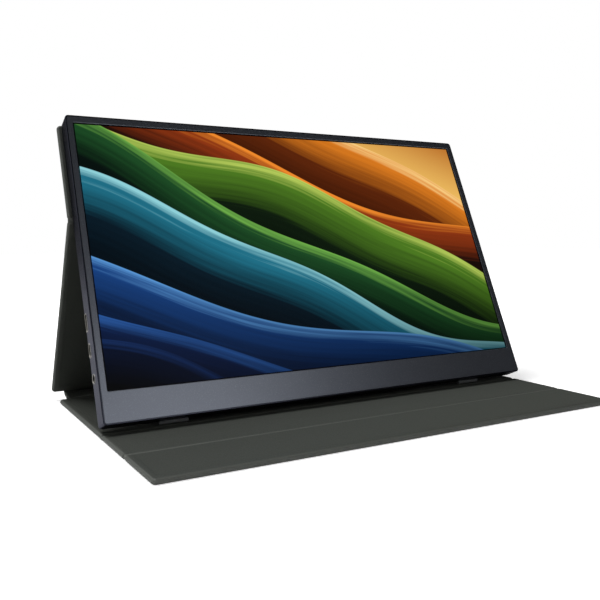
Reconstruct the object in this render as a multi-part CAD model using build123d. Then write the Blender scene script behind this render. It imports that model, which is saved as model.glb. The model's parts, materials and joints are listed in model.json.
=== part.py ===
from build123d import *
import math
import os

# Portable monitor on its folding stand cover, in millimetres.
# X runs along the screen, the screen faces -Y, Z is up and z = 0 is the table.

# Picture area of a 15.6 inch 16:9 panel, and the borders round it
SCREEN_W = 344.2
SCREEN_H = 193.6
SIDE_BORDER = 5.5
TOP_BORDER = 6.1
CHIN = 21.4

# Monitor housing
MONITOR_T = 14.0
CORNER_R = 2.5
WALL = 1.6
BACK_WALL = 1.5
BACK_ROUND = 1.5
RIM = 1.0
RIM_CHAMFER = 0.3
SEAM = 0.15
BEZEL_T = 1.0
WINDOW_R = 0.8
WINDOW_CHAMFER = 0.35
WINDOW_EDGE = 0.3

# Clips behind the front plate
CLIP_W = 8.0
CLIP_T = 0.8
CLIP_REACH = 2.6
CLIP_GAP = 0.3
CLIPS_BELOW = 6
CLIPS_ABOVE = 4
CLIP_SPAN = 300.0

# Screen stack, front to back
MODULE_CLEAR = 0.6
CELL_T = 1.0
FILM_T = 0.4
GUIDE_T = 1.0
REFLECTOR_T = 0.2
TRAY_T = 0.4
STACK_CLEAR = 0.1
LED_LEDGE = 6.0
TOP_LEDGE = 3.0
CELL_LEDGE = 3.0
LED_BAR_T = 1.0
LED_BAR_CLEAR = 0.1

# Driver board in the chin, with its flexes and posts
DRIVER_BOARD_W = 300.0
DRIVER_BOARD_H = 7.6
DRIVER_BOARD_T = 0.8
DRIVER_CHIP = 6.0
DRIVER_CHIP_T = 1.0
DRIVER_CHIPS = 5
FLEX_T = 0.2
FLEX_W = 30.0
FLEXES = 6
FLEX_LAP = 2.4
DRIVER_CHIP_CLEAR = 6.8
DRIVER_CHIP_FROM_END = 9.0
POST_W = 4.0
POST_T = 1.2

# Main board, its sockets and screws
PORT_ROOM = 3.6
BOARD_T = 1.0
BOARD_EDGE = 1.2
BOARD_W = 92.0
BOARD_LOW = 22.0
BOARD_H = 68.0
PLUG_INSET = 1.0
BOSS_R = 2.2
SCREW_R = 0.8
SCREW_CLEAR = 0.05
SCREW_HEAD_R = 1.6
SCREW_HEAD_T = 0.7
SCREW_REACH = 2.8
BOSS_INSET = 6.0
BOSS_SHIFT = 26.0
CHIP_SIZE = 14.0
CHIP_T = 1.4
PLUG_W = 6.0
PLUG_H = 4.0
PLUG_T = 2.2
RIBBON_PLUG_W = 7.0
RIBBON_PLUG_T = 1.0

# Socket places up the left side, and the sizes of their standards
HDMI_UP = 70.0
USB_UP = 51.0
JACK_UP = 32.0
MOUTH_INSET = 0.6
PORT_CLEAR = 0.3
HDMI_W = 11.2
HDMI_H = 3.2
HDMI_FOOT_W = 8.6
HDMI_SHOULDER = 1.3
HDMI_DEEP = 7.6
USB_W = 8.94
USB_H = 3.26
USB_DEEP = 7.4
SHELL_T = 0.3
TONGUE_T = 0.7
TONGUE_SHORT = 1.0
TONGUE_MARGIN = 0.9
SOCKET_FLOOR = 1.0
JACK_BORE_R = 1.8
JACK_BARREL_R = 2.8
JACK_BODY_W = 7.0
JACK_DEEP = 12.0
JACK_BEHIND_BOARD = 0.4
JACK_BARREL_L = 2.4
JACK_BODY_H = 5.2
JACK_TAB = 1.5
JACK_TAB_T = 0.8
NOTCH_CLEAR = 0.15

# Power button and menu rocker on the right side, with their board and switches
SIDE_FROM_BACK = 4.4
POWER_UP = 86.0
POWER_L = 9.0
POWER_H = 2.8
BUTTON_PROUD = 0.7
BUTTON_CLEAR = 0.25
BUTTON_CROWN = 0.35
BUTTON_TRAVEL = 0.4
BUTTON_FLANGE = 1.2
BUTTON_FLANGE_T = 1.0
STEM_R = 1.0
ROCKER_UP = 64.0
ROCKER_L = 15.0
ROCKER_H = 3.0
ROCKER_CLEAR = 0.4
PIVOT_IN = 1.7
ROCKER_IN = 3.1
PIVOT_R = 0.6
PIVOT_CLEAR = 0.05
EAR_T = 0.9
EAR_HALF = 2.2
EAR_GAP = 0.15
SWITCH_IN = 3.6
SWITCH_L = 3.6
SWITCH_H = 3.4
SWITCH_T = 3.0
PLUNGER_R = 0.6
PLUNGER_T = 0.4
ROCKER_ARM = 5.0
KEY_BOARD_LOW = 50.0
KEY_BOARD_H = 46.0
KEY_BOARD_T = 1.0
KEY_BOARD_DEPTH = 5.1
RAIL_L = 6.0
RAIL_T = 1.2
RAIL_H = 1.6

# Speakers, wires and ribbons
SPEAKER_L = 44.0
SPEAKER_H = 11.0
SPEAKER_T = 4.6
SPEAKER_EDGE = 3.0
SPEAKER_LIFT = 1.2
CONE_L = 30.0
CONE_H = 7.0
CONE_DEEP = 0.8
GRILLE_SLOTS = 7
GRILLE_PITCH = 4.0
GRILLE_SLOT_W = 1.2
GRILLE_SLOT_L = 7.0
WIRE_W = 1.6
WIRE_T = 0.8
WIRE_UP = 5.0
WIRE_LEFT_IN = 60.0
WIRE_RIGHT_IN = 72.0
RIBBON_T = 0.3
RIBBON_W = 6.0
RIBBON_UP = 60.0
DISPLAY_RIBBON_IN = 45.0
DISPLAY_RIBBON_W = 18.0
DISPLAY_RIBBON_LAP = 5.0
DISPLAY_RIBBON_UP = 8.0

# Rubber feet under the bottom wall
FOOT_L = 20.0
FOOT_X = 128.5
FOOT_W = 3.4
FOOT_PROUD = 2.0
FOOT_SEAT = 0.4
FOOT_FROM_BACK = 0.6

# Steel plates inside the housing back, and the magnets they hold
PLATE_W = 44.0
PLATE_H = 12.0
PLATE_T = 0.6
MAGNET_W = 40.0
MAGNET_H = 9.0
MAGNETS = 4
MAGNET_SPAN = 270.0
MAGNETS_FROM_TOP = 32.2

# Stand cover: wrapped boards joined by leather folds
SKIN_T = 0.7
BOARD_CORE_T = 2.0
LINING_T = 0.6
HEM = 5.0
PANEL_BEVEL = 0.8
FREE_CORNER_R = 3.0
FOLD_HALF_GAP = 2.5
LEG_FOOT_GAP = 1.2
SPINE_FOOT_GAP = 4.2
WEB_T = 1.0
BEAD_R = 1.5
FOOT_BEAD_R = 1.0
FOLD_END_INSET = 3.0
BACK_OVERHANG = 2.9
FLAP_OVERHANG = 0.4
SPINE_INSET = 6.5
BACK_GAP = 0.05
TILT = 24.0
CREASE_UP = 146.0
PANEL_TOP_INSET = 0.2
REST_GAP = 0.2
SPINE_LENGTH = 14.2
FOLD_AHEAD = 4.5
MIDDLE_SECTION = 48.4
FRONT_SECTION = 49.2
CLOSER_L = 12.0
CLOSER_W = 6.0
CLOSER_X = 120.0
CLOSER_FROM_EDGE = 12.0

# Worked out from the sizes above
MONITOR_W = SCREEN_W + 2 * SIDE_BORDER
MONITOR_H = SCREEN_H + CHIN + TOP_BORDER
PANEL_T = 2 * SKIN_T + BOARD_CORE_T
BACK_W = MONITOR_W + 2 * BACK_OVERHANG
FLAP_W = MONITOR_W + 2 * FLAP_OVERHANG
SPINE_W = FLAP_W - 2 * SPINE_INSET

CELL_BACK = BEZEL_T + CELL_T
FILM_BACK = CELL_BACK + FILM_T
GUIDE_BACK = FILM_BACK + GUIDE_T
REFLECTOR_BACK = GUIDE_BACK + REFLECTOR_T
TRAY_BACK = REFLECTOR_BACK + TRAY_T
TRAY_LOW = CHIN - LED_LEDGE
MODULE_TOP = CHIN + SCREEN_H + TOP_LEDGE
MODULE_W = MONITOR_W - 2 * (WALL + MODULE_CLEAR)

BACK_INSIDE = MONITOR_T - BACK_WALL
BOARD_BACK = BACK_INSIDE - PORT_ROOM
BOARD_FRONT = BOARD_BACK - BOARD_T
JACK_DEPTH = BOARD_BACK + JACK_BEHIND_BOARD
SIDE_DEPTH = MONITOR_T - SIDE_FROM_BACK
LEFT_INSIDE = -MONITOR_W / 2 + WALL
RIGHT_INSIDE = MONITOR_W / 2 - WALL
BOARD_LEFT = LEFT_INSIDE + BOARD_EDGE
BOARD_RIGHT = BOARD_LEFT + BOARD_W
BOARD_TOP = BOARD_LOW + BOARD_H
WIRE_LEFT_X = BOARD_LEFT + WIRE_LEFT_IN
WIRE_RIGHT_X = BOARD_LEFT + WIRE_RIGHT_IN
DISPLAY_RIBBON_X = BOARD_LEFT + DISPLAY_RIBBON_IN
MOUTH_X = -MONITOR_W / 2 + MOUTH_INSET
KEY_BOARD_X = RIGHT_INSIDE - SWITCH_IN - PLUNGER_T - SWITCH_T
SWITCH_FACE = KEY_BOARD_X + SWITCH_T
DRIVER_TOP = TRAY_LOW - CELL_LEDGE - STACK_CLEAR
DRIVER_FRONT = CELL_BACK + FLEX_T
DRIVER_BACK = DRIVER_FRONT + DRIVER_BOARD_T
MAGNET_UP = MONITOR_H - CREASE_UP - MAGNETS_FROM_TOP

# The stand is an isosceles triangle: crease to foot fold, and crease to rubber feet
FOOT_R = FOOT_W / 2
FOOT_DEPTH = MONITOR_T - FOOT_FROM_BACK - FOOT_R
FOOT_DROP = FOOT_PROUD - FOOT_R
CREASE_DEPTH = MONITOR_T + BACK_GAP + PANEL_T / 2
REACH_UP = CREASE_UP + FOOT_DROP
REACH_BACK = CREASE_DEPTH - FOOT_DEPTH
LEG_LENGTH = math.hypot(REACH_UP, REACH_BACK)
LEG_LEAN = TILT + math.degrees(math.atan2(REACH_BACK, REACH_UP))
HALF_SPREAD = LEG_LENGTH * math.sin(math.radians(LEG_LEAN))
AXIS_Z = PANEL_T + REST_GAP + FOOT_R
SPINE_RUN = math.sqrt(SPINE_LENGTH**2 - (AXIS_Z - PANEL_T / 2) ** 2)
SPINE_RISE = math.degrees(math.asin((AXIS_Z - PANEL_T / 2) / SPINE_LENGTH))
DEPTH = 2 * HALF_SPREAD + FOLD_AHEAD + MIDDLE_SECTION + FRONT_SECTION + FOOT_BEAD_R

FOOT_FOLD_Y = DEPTH / 2 - FOOT_BEAD_R
REST_Y = FOOT_FOLD_Y - 2 * HALF_SPREAD
CREASE_Y = FOOT_FOLD_Y - HALF_SPREAD
CREASE_Z = AXIS_Z + LEG_LENGTH * math.cos(math.radians(LEG_LEAN))
SPINE_FOLD_Y = FOOT_FOLD_Y - SPINE_RUN
GROOVE_Y = REST_Y - FOLD_AHEAD
FRONT_FOLD_Y = GROOVE_Y - MIDDLE_SECTION
FRONT_EDGE_Y = FRONT_FOLD_Y - FRONT_SECTION
FLAT_AXIS_Z = PANEL_T / 2

SIN_TILT = math.sin(math.radians(TILT))
COS_TILT = math.cos(math.radians(TILT))
MONITOR_Y = REST_Y - FOOT_DEPTH * COS_TILT + FOOT_DROP * SIN_TILT
MONITOR_Z = AXIS_Z + FOOT_DEPTH * SIN_TILT + FOOT_DROP * COS_TILT
MONITOR_PLACE = Location((0, MONITOR_Y, MONITOR_Z), (90 - TILT, 0, 0))
LEG_PLACE = Location((0, FOOT_FOLD_Y, AXIS_Z), (90 + LEG_LEAN, 0, 0))
SPINE_PLACE = Location((0, SPINE_FOLD_Y, FLAT_AXIS_Z), (SPINE_RISE, 0, 0))


def block(x0, x1, y0, y1, z0, z1):
    """A box between two corners."""
    middle = Pos((x0 + x1) / 2, (y0 + y1) / 2, (z0 + z1) / 2)
    return middle * Box(x1 - x0, y1 - y0, z1 - z0)


def plate(width, low, high, front, back, radius=0.0):
    """A plate centred across the monitor, between two heights and two depths."""
    height = high - low
    shape = RectangleRounded(width, height, radius) if radius else Rectangle(width, height)
    return extrude(Pos(0, (low + high) / 2, -back) * shape, amount=back - front)


def side_prism(shape, up, depth, x0, x1):
    """A side-on outline, with its length up the monitor, pushed along X."""
    return extrude(Plane.YZ.offset(x0) * Pos(up, -depth) * shape, amount=x1 - x0)


def spread(count, span):
    """Places of a row of count things, centred, over a span."""
    return [span * (i / (count - 1) - 0.5) for i in range(count)]


# Monitor pieces, with the screen in XY, its bottom edge at y = 0 and its face at z = 0


def hdmi_outline():
    half, foot, top = HDMI_W / 2, HDMI_FOOT_W / 2, HDMI_H / 2
    shoulder = top - HDMI_SHOULDER
    return Polygon(
        (-half, top), (-half, -shoulder), (-foot, -top), (foot, -top), (half, -shoulder), (half, top),
        align=None,
    )


def board_bosses():
    """Centres of the main board's screws."""
    return [
        (BOARD_LEFT + BOSS_INSET, BOARD_TOP - BOSS_INSET),
        (BOARD_RIGHT - BOSS_INSET, BOARD_TOP - BOSS_INSET),
        (BOARD_RIGHT - BOSS_INSET, BOARD_LOW + BOSS_INSET),
        (BOARD_LEFT + BOSS_SHIFT, BOARD_LOW + BOSS_INSET),
    ]


def driver_chip_places():
    """Places along the driver board of its chips, from the display ribbon to the right end."""
    first = DISPLAY_RIBBON_X + (DISPLAY_RIBBON_W + DRIVER_CHIP) / 2 + DRIVER_CHIP_CLEAR
    last = DRIVER_BOARD_W / 2 - DRIVER_CHIP_FROM_END
    return [(first + last) / 2 + x for x in spread(DRIVER_CHIPS, last - first)]


def grille_slots(side):
    """Slots through the back wall behind one speaker."""
    middle = side * (RIGHT_INSIDE - SPEAKER_EDGE - SPEAKER_L / 2)
    up = WALL + SPEAKER_LIFT + SPEAKER_H / 2
    slot = Rot(0, 0, 90) * SlotOverall(GRILLE_SLOT_L, GRILLE_SLOT_W)
    row = [
        Pos(middle + x, up, -MONITOR_T - 1) * slot
        for x in spread(GRILLE_SLOTS, GRILLE_PITCH * (GRILLE_SLOTS - 1))
    ]
    return extrude(Sketch() + row, amount=BACK_WALL + 2)


def make_rear_housing():
    shell = plate(MONITOR_W, 0, MONITOR_H, 0, MONITOR_T, CORNER_R)
    shell = fillet(shell.faces().sort_by(Axis.Z)[0].edges(), BACK_ROUND)
    shell = chamfer(shell.faces().sort_by(Axis.Z)[-1].edges(), RIM_CHAMFER)
    inside = MONITOR_W - 2 * WALL
    shell -= plate(inside, WALL, MONITOR_H - WALL, -1, BACK_INSIDE, CORNER_R - WALL)
    seat = MONITOR_W - 2 * RIM
    shell -= plate(seat, RIM, MONITOR_H - RIM, -1, BEZEL_T, CORNER_R - RIM)

    for x, y in board_bosses():
        boss = Pos(x, y, -(BACK_INSIDE + BOARD_BACK) / 2) * Cylinder(BOSS_R, BACK_INSIDE - BOARD_BACK)
        hole = Pos(x, y, -(BACK_INSIDE + BOARD_BACK) / 2)
        shell = shell + boss - hole * Cylinder(SCREW_R + SCREW_CLEAR, BACK_INSIDE - BOARD_BACK)

    chips = driver_chip_places()
    for left, right in zip(chips, chips[1:]):
        x = (left + right) / 2
        low = DRIVER_TOP - POST_W
        shell += block(x - POST_T / 2, x + POST_T / 2, low, DRIVER_TOP, -BACK_INSIDE, -DRIVER_BACK)

    for low in (KEY_BOARD_LOW, KEY_BOARD_LOW + KEY_BOARD_H - RAIL_L):
        for x in (KEY_BOARD_X - KEY_BOARD_T - RAIL_T, KEY_BOARD_X):
            shell += block(x, x + RAIL_T, low, low + RAIL_L, -BACK_INSIDE, -(BACK_INSIDE - RAIL_H))

    ear_x = RIGHT_INSIDE - ROCKER_IN
    near = SIDE_DEPTH - ROCKER_H / 2 - EAR_GAP
    far = SIDE_DEPTH + ROCKER_H / 2 + EAR_GAP
    low, high = ROCKER_UP - EAR_HALF, ROCKER_UP + EAR_HALF
    shell += block(ear_x, RIGHT_INSIDE, low, high, -near, -(near - EAR_T))
    shell += block(ear_x, RIGHT_INSIDE, low, high, -BACK_INSIDE, -far)
    pivot = Pos(RIGHT_INSIDE - PIVOT_IN, ROCKER_UP, -(near - EAR_T + far + EAR_T) / 2)
    shell -= pivot * Cylinder(PIVOT_R + PIVOT_CLEAR, far + EAR_T - (near - EAR_T))

    left, right = -MONITOR_W / 2 - 1, MONITOR_W / 2 + 1
    hdmi = offset(hdmi_outline(), PORT_CLEAR)
    usb = SlotOverall(USB_W + 2 * PORT_CLEAR, USB_H + 2 * PORT_CLEAR)
    shell -= side_prism(hdmi, HDMI_UP, BOARD_BACK + HDMI_H / 2, left, LEFT_INSIDE)
    shell -= side_prism(usb, USB_UP, BOARD_BACK + USB_H / 2, left, LEFT_INSIDE)
    shell -= side_prism(Circle(JACK_BARREL_R + PORT_CLEAR), JACK_UP, JACK_DEPTH, left, LEFT_INSIDE)
    power = SlotOverall(POWER_L + 2 * BUTTON_CLEAR, POWER_H + 2 * BUTTON_CLEAR)
    rocker = SlotOverall(ROCKER_L + 2 * ROCKER_CLEAR, ROCKER_H + 2 * BUTTON_CLEAR)
    shell -= side_prism(power, POWER_UP, SIDE_DEPTH, RIGHT_INSIDE, right)
    shell -= side_prism(rocker, ROCKER_UP, SIDE_DEPTH, RIGHT_INSIDE, right)

    for side in (-1, 1):
        shell -= grille_slots(side)
        seat = Pos(side * FOOT_X, (FOOT_SEAT - 1) / 2, -FOOT_DEPTH)
        shell -= seat * Box(FOOT_L, FOOT_SEAT + 1, FOOT_W)
    return shell


def make_front_bezel():
    inset = RIM + SEAM
    bezel = plate(MONITOR_W - 2 * inset, inset, MONITOR_H - inset, 0, BEZEL_T, CORNER_R - inset)
    width = SCREEN_W + 2 * WINDOW_EDGE
    window = plate(width, CHIN - WINDOW_EDGE, CHIN + SCREEN_H + WINDOW_EDGE, -1, BEZEL_T + 1, WINDOW_R)
    bezel -= window
    rim = bezel.faces().sort_by(Axis.Z)[-1].inner_wires()[0].edges()
    bezel = chamfer(rim, WINDOW_CHAMFER)
    back = BEZEL_T + CLIP_REACH
    low = WALL + CLIP_GAP
    for x in spread(CLIPS_BELOW, CLIP_SPAN):
        bezel += block(x - CLIP_W / 2, x + CLIP_W / 2, low, low + CLIP_T, -back, -BEZEL_T)
    high = MONITOR_H - WALL - CLIP_GAP
    for x in spread(CLIPS_ABOVE, CLIP_SPAN):
        bezel += block(x - CLIP_W / 2, x + CLIP_W / 2, high - CLIP_T, high, -back, -BEZEL_T)
    return bezel


def make_lcd_cell():
    return plate(MODULE_W, TRAY_LOW - CELL_LEDGE, MODULE_TOP, BEZEL_T, CELL_BACK)


def stack_sheet(front, back):
    """A sheet that lies inside the backlight tray, above its light bar."""
    edge = TRAY_T + STACK_CLEAR
    low = TRAY_LOW + TRAY_T + LED_BAR_T + LED_BAR_CLEAR
    return plate(MODULE_W - 2 * edge, low, MODULE_TOP - edge, front, back)


def make_optical_films():
    return stack_sheet(CELL_BACK, FILM_BACK)


def make_light_guide():
    return stack_sheet(FILM_BACK, GUIDE_BACK)


def make_reflector_sheet():
    return stack_sheet(GUIDE_BACK, REFLECTOR_BACK)


def make_backlight_tray():
    tray = plate(MODULE_W, TRAY_LOW, MODULE_TOP, CELL_BACK, TRAY_BACK)
    low, high = TRAY_LOW + TRAY_T, MODULE_TOP - TRAY_T
    return tray - plate(MODULE_W - 2 * TRAY_T, low, high, CELL_BACK - 1, REFLECTOR_BACK)


def make_led_bar():
    low = TRAY_LOW + TRAY_T
    width = MODULE_W - 2 * (TRAY_T + STACK_CLEAR)
    return plate(width, low, low + LED_BAR_T, FILM_BACK, REFLECTOR_BACK)


def make_panel_driver_board():
    board = plate(DRIVER_BOARD_W, DRIVER_TOP - DRIVER_BOARD_H, DRIVER_TOP, DRIVER_FRONT, DRIVER_BACK)
    middle = DRIVER_TOP - DRIVER_BOARD_H / 2
    for x in driver_chip_places():
        chip = Pos(x, middle, -DRIVER_BACK - DRIVER_CHIP_T / 2)
        board += chip * Box(DRIVER_CHIP, DRIVER_CHIP / 2, DRIVER_CHIP_T)
    return board


def make_driver_flexes():
    flexes = []
    low = DRIVER_TOP - FLEX_LAP
    high = TRAY_LOW - STACK_CLEAR
    for x in spread(FLEXES, DRIVER_BOARD_W - 2 * FLEX_W):
        flexes.append(block(x - FLEX_W / 2, x + FLEX_W / 2, low, high, -DRIVER_FRONT, -CELL_BACK))
    return Compound(children=flexes)


def make_main_board():
    board = block(BOARD_LEFT, BOARD_RIGHT, BOARD_LOW, BOARD_TOP, -BOARD_BACK, -BOARD_FRONT)
    half = JACK_BODY_W / 2 + NOTCH_CLEAR
    right = MOUTH_X + JACK_DEEP + NOTCH_CLEAR
    board -= block(BOARD_LEFT - 1, right, JACK_UP - half, JACK_UP + half, -BOARD_BACK, -BOARD_FRONT)
    for x, y in board_bosses():
        board -= Pos(x, y, -(BOARD_BACK + BOARD_FRONT) / 2) * Cylinder(SCREW_R + SCREW_CLEAR, BOARD_T)
    chip_back = BOARD_BACK + CHIP_T
    middle_x = (BOARD_LEFT + BOARD_RIGHT) / 2
    middle_y = (BOARD_LOW + BOARD_TOP) / 2
    for x, y, size in (
        (middle_x + CHIP_SIZE, middle_y + CHIP_SIZE, CHIP_SIZE),
        (middle_x - CHIP_SIZE, middle_y + CHIP_SIZE, CHIP_SIZE / 2),
        (middle_x + CHIP_SIZE, middle_y - CHIP_SIZE / 2, CHIP_SIZE / 2),
        (middle_x - CHIP_SIZE, middle_y - CHIP_SIZE / 2, CHIP_SIZE / 1.5),
    ):
        board += block(x - size / 2, x + size / 2, y - size / 2, y + size / 2, -chip_back, -BOARD_BACK)
    for x in (WIRE_LEFT_X, WIRE_RIGHT_X):
        low = BOARD_LOW + PLUG_INSET
        board += block(x - PLUG_W / 2, x + PLUG_W / 2, low, low + PLUG_H, -BOARD_BACK - PLUG_T, -BOARD_BACK)
    plug_x = BOARD_RIGHT - 2 * PLUG_INSET - RIBBON_PLUG_W / 2
    plug = Pos(plug_x, RIBBON_UP, -BOARD_FRONT + RIBBON_PLUG_T / 2)
    return board + plug * Box(RIBBON_PLUG_W, RIBBON_PLUG_W, RIBBON_PLUG_T)


def make_board_screws():
    screws = []
    for x, y in board_bosses():
        head = Pos(x, y, -BOARD_FRONT + SCREW_HEAD_T / 2) * Cylinder(SCREW_HEAD_R, SCREW_HEAD_T)
        length = BOARD_T + SCREW_REACH
        shank = Pos(x, y, -BOARD_FRONT - length / 2) * Cylinder(SCREW_R, length)
        screws.append(head + shank)
    return Compound(children=screws)


def socket(outline, hollow, tongue, up, deep, height):
    """A metal socket shell on the board's back face, open to the left, with its tongue."""
    depth = BOARD_BACK + height / 2
    shell = side_prism(outline, up, depth, MOUTH_X, MOUTH_X + deep)
    shell -= side_prism(hollow, up, depth, MOUTH_X - 1, MOUTH_X + deep - SOCKET_FLOOR)
    return shell + side_prism(tongue, up, depth, MOUTH_X + TONGUE_SHORT, MOUTH_X + deep - SOCKET_FLOOR)


def make_mini_hdmi_port():
    outline = hdmi_outline()
    tongue = Rectangle(HDMI_FOOT_W - 2 * TONGUE_MARGIN, TONGUE_T)
    return socket(outline, offset(outline, -SHELL_T), tongue, HDMI_UP, HDMI_DEEP, HDMI_H)


def make_usb_c_port():
    outline = SlotOverall(USB_W, USB_H)
    hollow = SlotOverall(USB_W - 2 * SHELL_T, USB_H - 2 * SHELL_T)
    tongue = Rectangle(USB_W - 2 * TONGUE_MARGIN - 2 * SHELL_T, TONGUE_T)
    return socket(outline, hollow, tongue, USB_UP, USB_DEEP, USB_H)


def make_headphone_jack():
    barrel_end = LEFT_INSIDE + (JACK_BARREL_L - WALL)
    body_end = MOUTH_X + JACK_DEEP
    barrel = side_prism(Circle(JACK_BARREL_R), JACK_UP, JACK_DEPTH, MOUTH_X, barrel_end)
    body = side_prism(Rectangle(JACK_BODY_W, JACK_BODY_H), JACK_UP, JACK_DEPTH, barrel_end, body_end)
    tabs = block(
        BOARD_LEFT, body_end,
        JACK_UP - JACK_BODY_W / 2 - JACK_TAB, JACK_UP + JACK_BODY_W / 2 + JACK_TAB,
        -BOARD_BACK - JACK_TAB_T, -BOARD_BACK,
    )
    bore = side_prism(Circle(JACK_BORE_R), JACK_UP, JACK_DEPTH, MOUTH_X - 1, body_end - SOCKET_FLOOR)
    return barrel + body + tabs - bore


def make_speaker(side):
    middle = side * (RIGHT_INSIDE - SPEAKER_EDGE - SPEAKER_L / 2)
    low = WALL + SPEAKER_LIFT
    place = Pos(middle, low + SPEAKER_H / 2, -BACK_INSIDE)
    speaker = extrude(place * Rectangle(SPEAKER_L, SPEAKER_H), amount=SPEAKER_T)
    return speaker - extrude(place * SlotOverall(CONE_L, CONE_H), amount=CONE_DEEP)


def make_speaker_wires():
    front = BOARD_BACK + (PLUG_T - WIRE_T) / 2
    back = front + WIRE_T
    start = RIGHT_INSIDE - SPEAKER_EDGE - SPEAKER_L
    end = BOARD_LOW + PLUG_INSET
    half = WIRE_W / 2
    wires = []
    for x0, x1 in ((-start, WIRE_LEFT_X), (start, WIRE_RIGHT_X)):
        along = block(min(x0, x1), max(x0, x1), WIRE_UP - half, WIRE_UP + half, -back, -front)
        rising = block(x1 - half, x1 + half, WIRE_UP - half, end, -back, -front)
        wires.append(along + rising)
    return Compound(children=wires)


def make_button_cable():
    left = BOARD_RIGHT - 2 * PLUG_INSET
    right = KEY_BOARD_X - KEY_BOARD_T
    back = BOARD_FRONT - (RIBBON_PLUG_T - RIBBON_T) / 2
    return block(left, right, RIBBON_UP - RIBBON_W / 2, RIBBON_UP + RIBBON_W / 2, -back, -back + RIBBON_T)


def make_display_cable():
    low = DRIVER_TOP - DISPLAY_RIBBON_LAP
    bend = DRIVER_TOP - DISPLAY_RIBBON_LAP / 2
    high = BOARD_LOW + DISPLAY_RIBBON_UP
    upper = -BOARD_FRONT + RIBBON_T
    lower = -DRIVER_BACK
    front = [(low, lower), (bend, lower), (TRAY_LOW, upper), (high, upper)]
    back = [(up, z - RIBBON_T) for up, z in front]
    ribbon = Polygon(*back, *reversed(front), align=None)
    middle = Plane.YZ.offset(DISPLAY_RIBBON_X)
    return extrude(middle * ribbon, amount=DISPLAY_RIBBON_W / 2, both=True)


def make_button_board():
    low, high = KEY_BOARD_LOW, KEY_BOARD_LOW + KEY_BOARD_H
    front = KEY_BOARD_DEPTH - BACK_INSIDE
    return block(KEY_BOARD_X - KEY_BOARD_T, KEY_BOARD_X, low, high, -BACK_INSIDE, front)


def make_side_switches():
    switches = []
    for up in (POWER_UP, ROCKER_UP - ROCKER_ARM, ROCKER_UP + ROCKER_ARM):
        body = side_prism(Rectangle(SWITCH_L, SWITCH_H), up, SIDE_DEPTH, KEY_BOARD_X, SWITCH_FACE)
        plunger = side_prism(Circle(PLUNGER_R), up, SIDE_DEPTH, SWITCH_FACE, SWITCH_FACE + PLUNGER_T)
        switches.append(body + plunger)
    return Compound(children=switches)


def make_power_button():
    outer = MONITOR_W / 2 + BUTTON_PROUD
    flange_face = RIGHT_INSIDE - BUTTON_CLEAR / 2
    cap = side_prism(SlotOverall(POWER_L, POWER_H), POWER_UP, SIDE_DEPTH, flange_face, outer)
    cap = chamfer(cap.faces().sort_by(Axis.X)[-1].edges(), BUTTON_CROWN)
    wide = SlotOverall(POWER_L + 2 * BUTTON_FLANGE, POWER_H + 2 * BUTTON_FLANGE)
    flange = side_prism(wide, POWER_UP, SIDE_DEPTH, flange_face - BUTTON_FLANGE_T, flange_face)
    reach = SWITCH_FACE + PLUNGER_T + BUTTON_TRAVEL + BUTTON_CLEAR / 2
    stem = side_prism(Circle(STEM_R), POWER_UP, SIDE_DEPTH, reach, flange_face - BUTTON_FLANGE_T)
    return cap + flange + stem


def make_menu_rocker():
    outer = MONITOR_W / 2 + BUTTON_PROUD
    cap = side_prism(SlotOverall(ROCKER_L, ROCKER_H), ROCKER_UP, SIDE_DEPTH, RIGHT_INSIDE - ROCKER_IN, outer)
    cap = chamfer(cap.faces().sort_by(Axis.X)[-1].edges(), BUTTON_CROWN)
    length = ROCKER_H + 2 * (EAR_GAP + EAR_T)
    return cap + Pos(RIGHT_INSIDE - PIVOT_IN, ROCKER_UP, -SIDE_DEPTH) * Cylinder(PIVOT_R, length)


def make_rubber_feet():
    shank = Pos((FOOT_SEAT - FOOT_DROP) / 2, 0) * Rectangle(FOOT_SEAT + FOOT_DROP, FOOT_W)
    end_on = Pos(-FOOT_DROP, 0) * Circle(FOOT_R) + shank
    end_on -= Pos(FOOT_SEAT + FOOT_R, 0) * Rectangle(2 * FOOT_R, 2 * FOOT_W)
    bar = Pos(0, 0, -FOOT_DEPTH) * extrude(Plane.YZ * end_on, amount=FOOT_L / 2, both=True)
    return Compound(children=[Pos(side * FOOT_X, 0, 0) * bar for side in (-1, 1)])


def make_housing_plates():
    steel = Box(PLATE_W, PLATE_H, PLATE_T)
    row = Pos(0, CREASE_UP + MAGNET_UP, -BACK_INSIDE + PLATE_T / 2)
    return Compound(children=[row * Pos(x, 0, 0) * steel for x in spread(MAGNETS, MAGNET_SPAN)])


# Cover pieces, with the leather side down at z = 0 and the lining up


def free_corners(face, free_end):
    """The two corners at a panel's free end: -1 low, +1 high, 0 none."""
    ranked = face.vertices().sort_by(Axis.Y)
    return {-1: ranked[:2], 0: [], 1: ranked[-2:]}[free_end]


def panel_outline(width, low, high, free_end):
    face = Pos(0, (low + high) / 2) * Rectangle(width, high - low)
    corners = free_corners(face, free_end)
    return fillet(corners, FREE_CORNER_R) if corners else face


def inset_outline(width, low, high, free_end, inset):
    """A panel's outline drawn in, with its free corners cut off."""
    face = Pos(0, (low + high) / 2) * Rectangle(width - 2 * inset, high - low - 2 * inset)
    corners = free_corners(face, free_end)
    return chamfer(corners, FREE_CORNER_R / 2) if corners else face


def panel_skin(*panel):
    """Leather turned round a board on all sides, with a hem round the lining."""
    skin = extrude(panel_outline(*panel), amount=PANEL_T)
    rims = skin.faces().sort_by(Axis.Z)[0].edges() + skin.faces().sort_by(Axis.Z)[-1].edges()
    skin = chamfer(rims, PANEL_BEVEL)
    skin -= panel_board(*panel)
    window = Pos(0, 0, SKIN_T + BOARD_CORE_T) * inset_outline(*panel, hem_of(panel))
    return skin - extrude(window, amount=SKIN_T + 1)


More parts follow.
